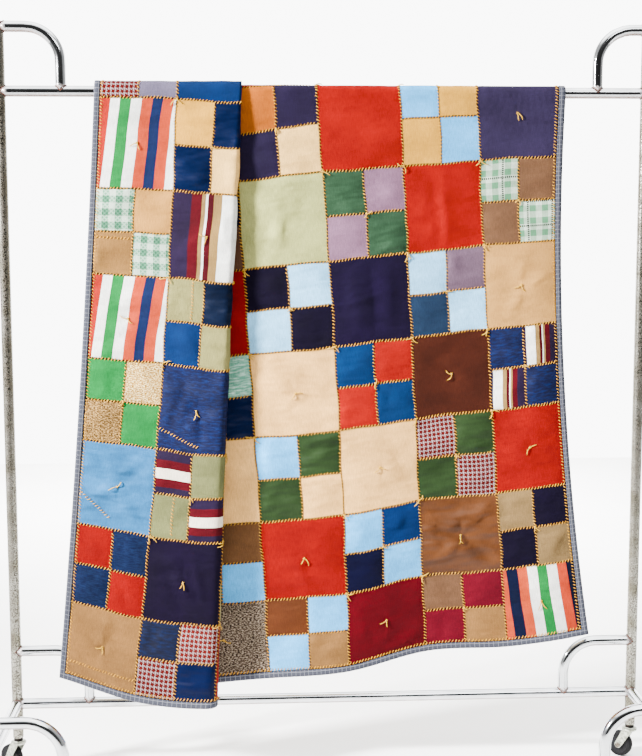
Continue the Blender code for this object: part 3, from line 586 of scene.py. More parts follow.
def yarn_material(name, dark, light):
    """Soft plied yarn: two tones that turn along it, and a fuzzy surface."""
    made, tree, shader = new_material(name, Specular_IOR_Level=0.08)
    ply = add(tree, "TexNoise", add(tree, "TexCoord", out="Object"), Scale=420.0, Detail=2.0)
    colour = add(tree, "ValToRGB", ply, stops=((0.36, dark), (0.62, light)))
    rough = add(tree, "MapRange", ply, 0.0, 1.0, 0.75, 0.95)
    coat(tree, shader, colour, rough, ply, 0.6, 0.0004)
    return made


# ---- The hanging cloth
COLUMNS = len(COLUMN_WIDTHS)
ROWS = len(ROW_HEIGHTS)
COLUMN_EDGES = BINDING + np.concatenate(([0.0], np.cumsum(COLUMN_WIDTHS)))
ROW_EDGES = BINDING + np.concatenate(([0.0], np.cumsum(ROW_HEIGHTS)))
CLOTH_WIDTH = COLUMN_EDGES[-1] + BINDING
CLOTH_LENGTH = ROW_EDGES[-1] + BINDING
CLOTH_SIZE = np.array((CLOTH_WIDTH, CLOTH_LENGTH))
ARC_LENGTH = pi * ARC_MEAN
BLOCKS = [(column, row) for column in range(COLUMNS) for row in range(ROWS)]
LINE = {row[0]: row[1:] for row in LINES}


def column_place(column):
    """Distance from the cloth's left edge to a place in block columns."""
    first, last = COLUMN_WIDTHS[0], COLUMN_WIDTHS[-1]
    outer = ([-BINDING / first], np.arange(COLUMNS + 1), [COLUMNS + BINDING / last])
    places = np.concatenate(([0.0], COLUMN_EDGES, [CLOTH_WIDTH]))
    return np.interp(column, np.concatenate(outer), places)


def row_place(row):
    """Distance from the front hem to a place in block rows, counted down."""
    return np.interp(row, FRONT_ROWS - np.arange(ROWS + 1)[::-1], ROW_EDGES[::-1])


def chart_point(column, row):
    """A place in block columns and rows, in cloth metres."""
    return float(column_place(column)), float(row_place(row))


def smooth_through(place, knots, values):
    """A smooth curve through knots: cubic Hermite with finite slopes."""
    last = len(knots) - 1
    beside = [(max(i - 1, 0), min(i + 1, last)) for i in range(last + 1)]
    slopes = [(values[high] - values[low]) / (knots[high] - knots[low]) for low, high in beside]
    result = np.zeros_like(place) + values[0]
    for i in range(last):
        span = knots[i + 1] - knots[i]
        u = (place - knots[i]) / span
        curve = (
            values[i] * (1 + 2 * u) * (1 - u) ** 2
            + slopes[i] * span * u * (1 - u) ** 2
            + values[i + 1] * u * u * (3 - 2 * u)
            + slopes[i + 1] * span * u * u * (u - 1)
        )
        result = np.where(place >= knots[i], curve, result)
    return result


def across_lines(place, values):
    """A smooth curve across the cloth through one value for each line."""
    return smooth_through(place, [float(column_place(row[1])) for row in LINES], values)


def fall(reach):
    """Share of the full drop, 0 at the rail and 1 at the lowest hem."""
    return np.clip(np.abs(reach) / FULL_DROP, 0.0, 1.2)


def line_values(name, reach, front):
    """Cloth place, x and out of one line at distances below the rail."""
    column_rail, column_hem, x_rail, x_hem, bow, _, _, _, out_rail, out_hem = LINE[name]
    share = fall(reach)
    down = np.where(front, share, 0.0)
    place = column_place(column_rail + (column_hem - column_rail) * down)
    x = x_rail + (x_hem - x_rail) * down + bow * 4 * down * (1 - down)
    return place, x, out_rail + (out_hem - out_rail) * share ** SPREAD_POWER


def waves(place, share):
    """Sum of the soft waves at a place across the cloth."""
    columns = np.linspace(-0.10, 9.10, 400)
    column = np.interp(place, column_place(columns), columns)
    total = np.zeros_like(column)
    for _, centre_rail, centre_hem, width, rail, middle, hem in WAVES:
        centre = centre_rail + (centre_hem - centre_rail) * share
        down = np.interp(share, (0.0, 0.5, 1.0), (rail, middle, hem))
        total = total + np.exp(-(((column - centre) / width) ** 2)) * down
    return total


def layer_curve(names, place, reach, front, share, swap):
    """x and out along a layer that passes through several lines."""
    found = [swap[name] if name in swap else line_values(name, reach, front) for name in names]
    knots, xs, outs = zip(*found)
    x = smooth_through(place, knots, xs)
    return x, smooth_through(place, knots, outs) + waves(place, share)


def cross_section(place, reach, front):
    """x and out: front layer, half turn, middle layer, half turn, main layer."""
    share = fall(reach)
    outer_r, inner_r = (low + (high - low) * share ** SPREAD_POWER for low, high in TURNS.values())
    place_o, x_o, out_o = line_values("outer_fold", reach, front)
    place_i, x_i, out_i = line_values("inner_fold", reach, front)
    outer_x, inner_x = x_o - outer_r, x_i + inner_r
    front_end, middle_start = place_o - outer_r * pi / 2, place_o + outer_r * pi / 2
    middle_end, main_start = place_i - inner_r * pi / 2, place_i + inner_r * pi / 2
    ends = {
        "outer_fold": (front_end, outer_x, out_o),
        "inner_fold": (main_start, inner_x, out_i),
    }
    names = [row[0] for row in LINES]
    x_front, out_front = layer_curve(names[:3], place, reach, front, share, ends)
    x_main, out_main = layer_curve(names[3:], place, reach, front, share, ends)
    top_o = out_o + waves(front_end, share)
    top_i = out_i + waves(main_start, share) + 2 * inner_r
    turn_o = (place - front_end) / outer_r
    turn_i = (place - middle_end) / inner_r
    along = (place - middle_start) / (middle_end - middle_start)
    steps = (place < front_end, place < middle_start, place < middle_end, place < main_start)
    x = np.select(steps, (
        x_front,
        outer_x + outer_r * np.sin(turn_o),
        outer_x + (inner_x - outer_x) * along,
        inner_x - inner_r * np.sin(turn_i),
    ), x_main)
    out = np.select(steps, (
        out_front,
        top_o - outer_r * (1 - np.cos(turn_o)),
        top_o - 2 * outer_r + (top_i - top_o + 2 * outer_r) * along,
        top_i - inner_r * (1 - np.cos(turn_i)),
    ), out_main)
    return x, out


def rail_place(place):
    """Cloth length from the front hem up to the rail, at a place across."""
    return across_lines(place, [BINDING + (TOP_RAIL_Z - row[6]) / row[7] for row in LINES])


def reach_at(place, length):
    """Distance below the rail, whether in front, and place along the cloth."""
    over = length - rail_place(place)
    below = np.where(over < 0, -over, np.maximum(over - ARC_LENGTH, 0.0))
    return below * across_lines(place, [row[7] for row in LINES]), over


def hang(place, length):
    """Points of the middle of the sheet: place from the left edge, length
    from the front hem.  Straight drops, and a half circle over the rail."""
    reach, over = reach_at(place, length)
    x, out = cross_section(place, reach, over < ARC_LENGTH / 2)
    angle = np.clip(over / ARC_MEAN, 0.0, pi)
    share = fall(reach)
    lift = across_lines(place, [row[8] for row in LINES]) * 4 * share * (1 - share)
    z = TOP_RAIL_Z + out * np.sin(angle) - reach + np.where(over < 0, lift, 0.0)
    return np.stack((x, -out * np.cos(angle), z), axis=-1) + ORIGIN


def cloth_normals(place, length, step=0.0015):
    """Unit normals of the sheet on its patchwork side, by small differences."""
    across = hang(place + step, length) - hang(place - step, length)
    along = hang(place, length + step) - hang(place, length - step)
    normal = np.cross(across, along)
    return normal / np.maximum(np.linalg.norm(normal, axis=-1, keepdims=True), 1e-12)


def block_of(place, length):
    """Block column, block row from the hem, and place in the block, 0 to 1."""
    column = np.clip(np.searchsorted(COLUMN_EDGES, place, "right") - 1, 0, COLUMNS - 1)
    row = np.clip(np.searchsorted(ROW_EDGES, length, "right") - 1, 0, ROWS - 1)
    a = (place - COLUMN_EDGES[column]) / np.take(COLUMN_WIDTHS, column)
    b = (length - ROW_EDGES[row]) / np.take(ROW_HEIGHTS, row)
    return column, row, np.clip(a, 0.0, 1.0), np.clip(b, 0.0, 1.0)


def wander(place, length):
    """The cloth's seams stray a little from straight: moved place and length.

    Two slow sine waves each way, none at the bound edge.
    """
    edge = np.minimum(
        np.minimum(place, CLOTH_WIDTH - place), np.minimum(length, CLOTH_LENGTH - length)
    )
    hold = np.clip((edge - BINDING) / STRAY_FADE, 0.0, 1.0)
    dx = np.sin(26.0 * length + 9.0 * place) + 0.6 * np.sin(61.0 * length - 17.0 * place + 1.0)
    dy = np.sin(24.0 * place - 7.0 * length + 2.0) + 0.6 * np.sin(57.0 * place + 13.0 * length)
    return place + STRAY * hold * dx, length + STRAY * hold * dy


def small_creases():
    """A few soft creases for every patch, drawn by the seeded generator.

    Each is its patch's bounds, start, end, half width and height.
    """
    drawn = []
    for column, row in BLOCKS:
        parts = 2 if (column + row) % 2 else 1
        wide, tall = COLUMN_WIDTHS[column] / parts, ROW_HEIGHTS[row] / parts
        for i, j in np.ndindex(parts, parts):
            x, y = COLUMN_EDGES[column] + i * wide, ROW_EDGES[row] + j * tall
            for _ in range(SMALL_COUNT[parts]):
                ends = SEED.uniform(*SMALL_ENDS, 4)
                half = SEED.uniform(*SMALL_HALF)
                rise = SEED.choice((-1, 1)) * SEED.uniform(*SMALL_RISE)
                start = (x + ends[0] * wide, y + ends[1] * tall)
                end = (x + ends[2] * wide, y + ends[3] * tall)
                if np.hypot(end[0] - start[0], end[1] - start[1]) > SMALL_RUN * wide:
                    drawn.append(((x, x + wide, y, y + tall), start, end, half, rise))
    return drawn


def crease(place, length, start, end, half, rise):
    """A soft ridge from start to end: bell-shaped across, tapered to its ends."""
    (x0, y0), (x1, y1) = start, end
    run = np.hypot(x1 - x0, y1 - y0)
    along = np.clip(((place - x0) * (x1 - x0) + (length - y0) * (y1 - y0)) / run ** 2, 0, 1)
    aside = ((place - x0) * (y1 - y0) - (length - y0) * (x1 - x0)) / run
    return rise * np.sqrt(4 * along * (1 - along)) * np.exp(-((aside / half) ** 2))


def relief(place, length):
    """Height of the patchwork's fine form over the plain sheet.

    Crowned patches between drawn-in seams, a dimple with rays of puckers at
    each large square's tie, the creases, and slow unevenness.  It fades
    towards the rail, where the layers lie close.
    """
    column, row, a, b = block_of(place, length)
    four = (column + row) % 2 == 1
    a_cell = np.where(four, (2 * a) % 1.0, a)
    b_cell = np.where(four, (2 * b) % 1.0, b)
    size = np.where(four, 0.5, 1.0)
    edge_a = 1 - np.abs(2 * a_cell - 1) ** (10 * size)
    edge_b = 1 - np.abs(2 * b_cell - 1) ** (10 * size)
    crown = np.sin(pi * a_cell) * np.sin(pi * b_cell)
    height = -SEAM_DIP * (1 - edge_a * edge_b) + 2 * PUFF * size * crown
    dx = (a - 0.5) * np.take(COLUMN_WIDTHS, column)
    dy = (b - 0.5) * np.take(ROW_HEIGHTS, row)
    far = np.hypot(dx, dy)
    angle = np.arctan2(dy, dx) + 1.7 * column + 0.9 * row
    rays = np.cos(5 * angle) + 0.6 * np.cos(8 * angle + column)
    dimple, near, wide = (np.exp(-((far / radius) ** 2)) for radius in (DIMPLE, *RAY_RING))
    pull = RAYS * rays * wide * (1 - near) - TIE_DIP * dimple
    tied = np.where(four, CELL_TIE, 1.0)
    for block in UNTIED:
        tied = np.where((column == block[0]) & (row == block[1]), 0.0, tied)
    height = height + tied * pull
    for _, start, end, half, rise in CREASES:
        ends = chart_point(*start), chart_point(*end)
        height = height + crease(place, length, *ends, half, CREASE_GAIN * rise)
    for (x0, x1, y0, y1), start, end, half, rise in SMALL_CREASES:
        inside = (place > x0) & (place < x1) & (length > y0) & (length < y1)
        a, b = (place[inside] - x0) / (x1 - x0), (length[inside] - y0) / (y1 - y0)
        fade = np.clip(12 * a * (1 - a), 0, 1) * np.clip(12 * b * (1 - b), 0, 1)
        height[inside] += fade * crease(place[inside], length[inside], start, end, half, rise)
    wave = np.sin(17.0 * place + 5.0 * np.sin(3.1 * length)) * np.sin(9.0 * length + 2.0)
    wave = wave + np.sin(31.0 * place + 11.0 * length) * np.sin(23.0 * length - 7.0 * place)
    height = height + RIPPLE * wave
    soft = (column == SATIN_SQUARE[0]) & (row == SATIN_SQUARE[1])
    deepest = np.where(soft, 3 * DEEPEST, DEEPEST)
    height = np.where(height < 0, deepest * np.tanh(height / deepest), height)
    reach, _ = reach_at(place, length)
    room = np.clip(reach / FULL_FORM, 0.0, 1.0)
    return height * (RAIL_FORM + (1 - RAIL_FORM) * room)


SMALL_CREASES = small_creases()


def surface(place, length, lift):
    """Points at a height over the patchwork's fine surface."""
    height = HALF_THICK + relief(place, length) + lift
    place, length = wander(place, length)
    return hang(place, length) + cloth_normals(place, length) * height[..., None]


# ---- Quilt: patchwork panel
# Share of a half block at which the grid has lines: close by the seams, coarse
# on hidden layers, and even on the half blocks where the pleat turns.
SHOWN_STEPS = np.array((0.0, 0.03, 0.08, 0.16, 0.26, 0.37, 0.48, 0.59, 0.70, 0.81, 0.91, 0.97))
HIDDEN_STEPS = np.array((0.0, 0.06, 0.30, 0.50, 0.70, 0.94))
FOLD_STEPS = np.concatenate(((0.0, 0.03), np.linspace(0.09, 0.91, 11), (0.97,)))
COLUMN_STEPS = [SHOWN_STEPS] * (2 * COLUMNS)
for half in (3, 4, 6, 7):
    COLUMN_STEPS[half] = FOLD_STEPS
COLUMN_STEPS[5] = COLUMN_STEPS[8] = HIDDEN_STEPS
ROW_STEPS = [SHOWN_STEPS] * (2 * FRONT_ROWS) + [HIDDEN_STEPS] * (2 * (ROWS - FRONT_ROWS))
SEAM_TOUCH = 0.004          # share of a block within which a point is on its seam


def grid_lines(edges, steps_of):
    """Grid lines over all blocks, and the half block that follows each."""
    lines, halves = [], []
    for half, steps in enumerate(steps_of):
        block = half // 2
        width = (edges[block + 1] - edges[block]) / 2
        lines.append(edges[block] + width * (half % 2) + width * steps)
        halves.append(np.full(len(steps), half))
    return np.concatenate(lines + [[edges[-1]]]), np.concatenate(halves)


def cloth_numbers(names):
    """Each half block's cloth, as its number in names: rows up from the hem."""
    numbers = np.zeros((2 * ROWS, 2 * COLUMNS), int)
    for row in range(ROWS):
        # the chart runs down from the rail, in front and then behind
        for column, entry in enumerate(CHART[FRONT_ROWS - 1 - row if row < FRONT_ROWS else row]):
            if "/" not in entry:
                entry = f"{entry} {entry}/{entry} {entry}"
            high, low = (pair.split() for pair in entry.split("/"))
            for upper, pair in enumerate((low, high)):
                for right, name in enumerate(pair):
                    numbers[2 * row + upper, 2 * column + right] = names.index(name)
    return numbers


def on_seam(place, length):
    """1 where a grid point lies on a seam between patches, else 0."""
    column, row, a, b = block_of(place, length)
    four = (column + row) % 2 == 1
    edge = (np.abs(a - 0.5) > 0.5 - SEAM_TOUCH) | (np.abs(b - 0.5) > 0.5 - SEAM_TOUCH)
    middle = (np.abs(a - 0.5) < SEAM_TOUCH) | (np.abs(b - 0.5) < SEAM_TOUCH)
    return np.where(edge | (four & middle), 1.0, 0.0)


def make_panel():
    """The patchwork, its edges and its backing, as one closed thin sheet."""
    names = list(CLOTHS)
    materials = [cloth_material(name, *CLOTHS[name]) for name in names]
    materials.append(cloth_material("backing muslin", "plain", "#dccaa8"))
    across, half_column = grid_lines(COLUMN_EDGES, COLUMN_STEPS)
    along, half_row = grid_lines(ROW_EDGES, ROW_STEPS)
    half_row = half_row[:, None]
    place, length = np.meshgrid(across, along)
    rows, columns = place.shape
    count = rows * columns
    moved = wander(place, length)
    middle, normal = hang(*moved), cloth_normals(*moved)
    fine = relief(place, length)
    front = middle + normal * (HALF_THICK + fine)[..., None]
    back = middle - normal * (HALF_THICK - 0.5 * fine)[..., None]
    points = np.concatenate((front.reshape(-1, 3), back.reshape(-1, 3)))

    faces = [grid_faces(rows, columns), grid_faces(rows, columns, count)[:, ::-1]]
    index = np.arange(count).reshape(rows, columns)
    for rim in (index[0, ::-1], index[:, 0], index[-1, :], index[::-1, -1]):
        a, b = rim[:-1], rim[1:]
        faces.append(np.stack((a, b, b + count, a + count), axis=-1))
    shown = len(faces[0])
    faces = np.concatenate(faces)

    # each patchwork face's cloth, and its patch's low corner and size
    slots = np.full(len(faces), len(names))
    slots[:shown] = cloth_numbers(names)[half_row, half_column].ravel()
    low, size = np.zeros((len(faces), 2)), np.ones((len(faces), 2))
    four = (half_column // 2 + half_row // 2) % 2 == 1
    for axis, (edges, widths, half) in enumerate((
        (COLUMN_EDGES, COLUMN_WIDTHS, half_column), (ROW_EDGES, ROW_HEIGHTS, half_row),
    )):
        wide = np.take(widths, half // 2) * np.where(four, 0.5, 1.0)
        size[:shown, axis] = wide.ravel()
        low[:shown, axis] = (np.take(edges, half // 2) + np.where(four, half % 2, 0) * wide).ravel()
    flat = np.stack((place.ravel(), length.ravel()), axis=-1)
    flat = np.concatenate((flat, flat))[faces]
    patch = (flat - low[:, None]) / size[:, None]
    piece = make_mesh(
        "quilt_patchwork", points, faces, materials, {"cloth": flat, "patch": patch}, slots
    )
    # where the seams lie, for the cloths' painted seam shade; none on the backing
    seam = on_seam(place, length).ravel()
    set_points(piece, "seam", np.concatenate((seam, np.zeros_like(seam))))
    return piece


# ---- Quilt: binding
# Cross-section of the binding: depth in from the edge, height over the sheet.
BINDING_RING = (
    (BINDING, 0.0012), (0.0125, 0.0024), (0.0060, 0.0027), (0.0016, 0.0023), (0.0001, 0.0009),
    (0.0001, -0.0009), (0.0016, -0.0021), (0.0060, -0.0023), (0.0125, -0.0021), (BINDING, -0.0012),
)
BINDING_STEP = 0.008


def make_binding():
    """A strip folded over the whole edge, mitred at the corners.

    Rings of the cross-section follow the rectangle of the cloth's edge; each
    ring point lies on the rectangle drawn in by its own depth.
    """
    corners = np.array(((0, 0), (1, 0), (1, 1), (0, 1)), float)
    inward = np.array(((1, 1), (-1, 1), (-1, -1), (1, -1)), float)
    rings = []
    for side in range(4):
        after = (side + 1) % 4
        count = int(np.abs((corners[after] - corners[side]) * CLOTH_SIZE).sum() / BINDING_STEP)
        shares = np.arange(count) / count
        ring = []
        for depth, _ in BINDING_RING:
            start = corners[side] * CLOTH_SIZE + inward[side] * depth
            end = corners[after] * CLOTH_SIZE + inward[after] * depth
            ring.append(start + (end - start) * shares[:, None])
        rings.append(np.stack(ring, axis=1))
    flat = np.concatenate(rings)
    place, length = flat[..., 0], flat[..., 1]
    heights = np.array([height for _, height in BINDING_RING])
    slow = 0.0003 * np.sin(420 * (place + length)) * np.sign(heights)
    points = hang(place, length) + cloth_normals(place, length) * (heights + slow)[..., None]
    count, sides = flat.shape[:2]
    faces = grid_faces(count, sides, wrap_rows=True, wrap_columns=True)
    uv = flat.reshape(-1, 2)[faces]
    return make_mesh(
        "quilt_binding", points.reshape(-1, 3), faces, [binding_material()], {"cloth": uv}
    )


# ---- Quilt: stitches and ties
STITCH_PITCH = 0.0078
STITCH_HALF = 0.0034        # half the width of a row of stitches
STITCH_LEAN = 0.55          # share of the pitch that a stitch leans by
STITCH_STRAY = 0.0007       # the hand's unevenness
STITCH_LIFT = (-0.0004, 0.0010, -0.0004)
YARN_R = 0.00108
YARN_TAPER = 0.72           # of its width at its ends
EDGE_KEEP = 0.002           # no yarn is nearer to the cloth's edge
EDGE_INSET = 0.0045         # of the rows beside the binding
CELL_INSET = 0.006          # of the rows inside a four-patch, from its ends


def block_middle(column, row):
    """The middle of a block, its row up from the hem."""
    return sum(COLUMN_EDGES[column:column + 2]) / 2, sum(ROW_EDGES[row:row + 2]) / 2


def seam_runs():
    """Every stitched line: start and end in cloth metres."""
    runs = []
    for c, x in enumerate(COLUMN_EDGES):
        x = x + EDGE_INSET * ((c == 0) - (c == COLUMNS))
        runs.append(((x, ROW_EDGES[0]), (x, ROW_EDGES[-1])))
    for r, y in enumerate(ROW_EDGES):
        y = y + EDGE_INSET * ((r == 0) - (r == ROWS))
        runs.append(((COLUMN_EDGES[0], y), (COLUMN_EDGES[-1], y)))
    for c, r in BLOCKS:
        if (c + r) % 2 == 1:
            x, y = block_middle(c, r)
            low, high = ROW_EDGES[r] + CELL_INSET, ROW_EDGES[r + 1] - CELL_INSET
            left, right = COLUMN_EDGES[c] + CELL_INSET, COLUMN_EDGES[c + 1] - CELL_INSET
            runs += [((x, low), (x, high)), ((left, y), (right, y))]
    return runs + [(chart_point(*start), chart_point(*end)) for _, start, end in EXTRA_SEAMS]


def yarn_tubes(name, flat, lift, radii, finish):
    """Joined four-sided yarn tubes over the cloth, from paths in cloth metres
    (n, stations, 2), heights over it (n, stations) and a radius for each."""
    flat = np.clip(flat, EDGE_KEEP, CLOTH_SIZE - EDGE_KEEP)
    paths = surface(flat[..., 0], flat[..., 1], lift)
    count, stations = paths.shape[:2]
    along = np.gradient(paths, axis=1)
    along /= np.linalg.norm(along, axis=-1, keepdims=True)
    guide = np.where(np.abs(along[..., 1:2]) < 0.9, (0.0, 1.0, 0.0), (1.0, 0.0, 0.0))
    side = np.cross(along, guide)
    side /= np.linalg.norm(side, axis=-1, keepdims=True)
    rise = np.cross(side, along)
    taper = np.ones(stations)
    taper[[0, -1]] = YARN_TAPER
    width = np.broadcast_to(radii, count)[:, None, None] * taper[None, :, None]
    turns = [pi / 2 * corner for corner in range(4)]
    rings = [paths + (side * cos(turn) + rise * sin(turn)) * width for turn in turns]
    points = np.stack(rings, axis=2)
    caps = np.array(((3, 2, 1, 0), (0, 1, 2, 3))) + np.array(((0,), (4 * (stations - 1),)))
    one = np.concatenate((grid_faces(stations, 4, wrap_columns=True), caps))
    faces = one[None] + (np.arange(count) * stations * 4)[:, None, None]
    return make_mesh(name, points.reshape(-1, 3), faces.reshape(-1, 4), [finish])


def make_stitches(finish):
    """Slanted yarn stitches laced over every seam, in two pieces."""
    starts, ends = [], []
    for start, end in seam_runs():
        start, end = np.array(start), np.array(end)
        run = np.linalg.norm(end - start)
        forward = (end - start) / run
        aside = np.array((-forward[1], forward[0]))
        count = max(int(round(run / STITCH_PITCH)), 1)
        pitch = run / count
        knots = np.arange(count)[:, None] * pitch
        stray = SEED.uniform(-STITCH_STRAY, STITCH_STRAY, (count, 4))
        lean = STITCH_LEAN * pitch
        low = start + forward * (knots + stray[:, :1])
        high = start + forward * (knots + lean + stray[:, 2:3])
        starts.append(low - aside * (STITCH_HALF + stray[:, 1:2]))
        ends.append(high + aside * (STITCH_HALF + stray[:, 3:4]))
    starts, ends = np.concatenate(starts)[:, None], np.concatenate(ends)[:, None]
    flat = starts + (ends - starts) * np.array((0.0, 0.5, 1.0))[None, :, None]
    lift = np.broadcast_to(STITCH_LIFT, flat.shape[:2])
    behind = flat[:, 1, 1] > rail_place(flat[:, 1, 0])
    return [
        yarn_tubes("stitches_front", flat[~behind], lift[~behind], YARN_R, finish),
        yarn_tubes("stitches_back", flat[behind], lift[behind], YARN_R, finish),
    ]


# Length of a tie's tails, and how likely it is at a four-patch's middle and
# at a block's corner.
TIE_LONG, TIE_SHORT = 0.021, 0.014
FOUR_TIED, CORNER_TIED = 0.6, 0.7
TAIL_R, KNOT_R = 0.0011, 0.0013
KNOT_WIDTH = 0.006
YARN_ARCH = 0.0022          # how far a loop of yarn stands off the cloth


def make_ties(finish):
    """Yarn ties: a small knot of two bars, with two curling tails.

    One at most large squares' middles; others at most block corners and
    four-patch middles.
    """
    spots = []
    for c, r in BLOCKS:
        large = (c + r) % 2 == 0
        if (large and (c, r) not in UNTIED) or (not large and SEED.random() < FOUR_TIED):
            spots.append((*block_middle(c, r), TIE_LONG if large else TIE_SHORT))
        if c and r and SEED.random() < CORNER_TIED:
            spots.append((COLUMN_EDGES[c], ROW_EDGES[r], TIE_LONG))
    flats, lifts, radii = [], [], []
    share = np.linspace(0, 1, 6)
    arch = YARN_ARCH * np.sin(pi * share)
    for x, y, size in spots:
        turn = SEED.uniform(0, 2 * pi)
        for tail in range(2):
            angle = -pi / 2 + SEED.uniform(-1.3, 1.3) + (0.9 if tail else -0.4)
            step = size * SEED.uniform(0.7, 1.15) / 5
            bend = angle + SEED.uniform(-1.6, 1.6) * share
            px = x + np.concatenate(([0], np.cumsum(np.cos(bend[1:]) * step)))
            py = y + np.concatenate(([0], np.cumsum(np.sin(bend[1:]) * step)))
            flats.append(np.stack((px, py), -1))
            lifts.append(0.0012 + arch + 0.0008 * share)
        for angle in (turn, turn + pi / 2):
            across = (share - 0.5) * KNOT_WIDTH
            flats.append(np.stack((x + across * cos(angle), y + across * sin(angle)), -1))
            lifts.append(0.0001 + arch)
        radii += [TAIL_R, TAIL_R, KNOT_R, KNOT_R]
    return yarn_tubes("yarn_ties", np.array(flats), np.array(lifts), radii, finish)


# ---- Rack materials
def chrome_material(name, clean, dull, rough, pits, rust_reach, pit_size, rusts):
    """Chrome plate: bright or clouded, with pits and rust near the welds.

    The rust follows the tube's "weld" attribute, 1 at a weld, broken up by
    noise; rusty spots are rough and not metallic.
    """
    made, tree, shader = new_material(name)
    place, facing = add(tree, "TexCoord", out=("Object", "Normal"))
    weld = add(tree, "Attribute", attribute_name="weld", out="Fac")
    clouds = add(tree, "TexNoise", place, Scale=22.0, Detail=5.0)
    specks = add(tree, "TexNoise", place, Scale=pit_size, Detail=3.0)
    near = add(tree, "Math", weld, rust_reach, operation="MULTIPLY")
    broken = add(tree, "Math", near, specks, operation="MULTIPLY")
    stain = add(tree, "MapRange", broken, 0.26, 0.52)
    spots = add(tree, "MapRange", specks, 0.49, 0.56, 0.0, pits)
    # rust-coloured, rough, not metallic specks that grow towards the tube's underside, where it
    # faces down
    below = add(tree, "SeparateXYZ", facing, out="Z")
    underside_specks = add(tree, "MapRange", below, -0.40, -0.85, 0.0, 1.6)
    underside_specks = add(tree, "Math", underside_specks, specks, operation="MULTIPLY")
    worn = add(tree, "Math", stain, spots, operation="MAXIMUM")
    worn = add(tree, "Math", worn, underside_specks, operation="MAXIMUM")
    plate = add(tree, "ValToRGB", clouds, stops=((0.35, dull), (0.65, clean)))
    rust = add(tree, "ValToRGB", specks, stops=((0.35, rusts[0]), (0.60, rusts[1])))
    colour = add(tree, "Mix", worn, plate, rust, data_type="RGBA")
    smear = add(tree, "MapRange", clouds, 0.0, 1.0, rough, rough + 0.12)
    coarse = add(tree, "Mix", worn, smear, 0.85, data_type="FLOAT")
    dress(shader, Metallic=add(tree, "Math", 1.0, worn, operation="SUBTRACT"))
    coat(tree, shader, colour, coarse, specks, 0.12 + pits * 0.5, 0.0003)
    return made


def worn_material(name, light, dark, metallic, rough, size, depth):
    """A part's plain surface with mottling, fine bump and uneven gloss."""
    gloss = 0.5 if metallic else 0.1
    made, tree, shader = new_material(name, Metallic=metallic, Specular_IOR_Level=gloss)
    mottle = add(tree, "TexNoise", add(tree, "TexCoord", out="Object"), Scale=size, Detail=4.0)
    colour = add(tree, "ValToRGB", mottle, stops=((0.35, dark), (0.65, light)))
    uneven = add(tree, "MapRange", mottle, 0.0, 1.0, rough, min(rough + 0.2, 1.0))
    coat(tree, shader, colour, uneven, mottle, 0.4, depth)
    return made


# ---- Rack geometry
TUBE_SIDES = 40
# Stations near a tube's end, where the weld's stain fades out.
END_STATIONS = (0.0, 0.003, 0.007, 0.012, 0.019, 0.030, 0.045, 0.065)
STAIN_FADE = 0.006
SPARE_STEP = 0.06           # between stations elsewhere
# Stations either side of a weld on a tube's flank, and its stain's reach.
MARK_STEPS = (-0.030, -0.018, -0.010, 0.010, 0.018, 0.030)
MARK_REACH = 1.1 * TUBE_R
# Closing rings of a tube: share of its width, and a plug's doming.
LID_RINGS = ((0.86, 0.0016), (0.50, 0.0030), (0.02, 0.0035))
LID_DEPTH = 0.004           # of a flat lid, inside the neighbour
PLUG_RISE = LID_RINGS[-1][1]
BEAD_R = 0.0012
BEAD_POINTS = 36
X_WAY, Y_WAY, Z_WAY = (1.0, 0.0, 0.0), (0.0, 1.0, 0.0), (0.0, 0.0, 1.0)


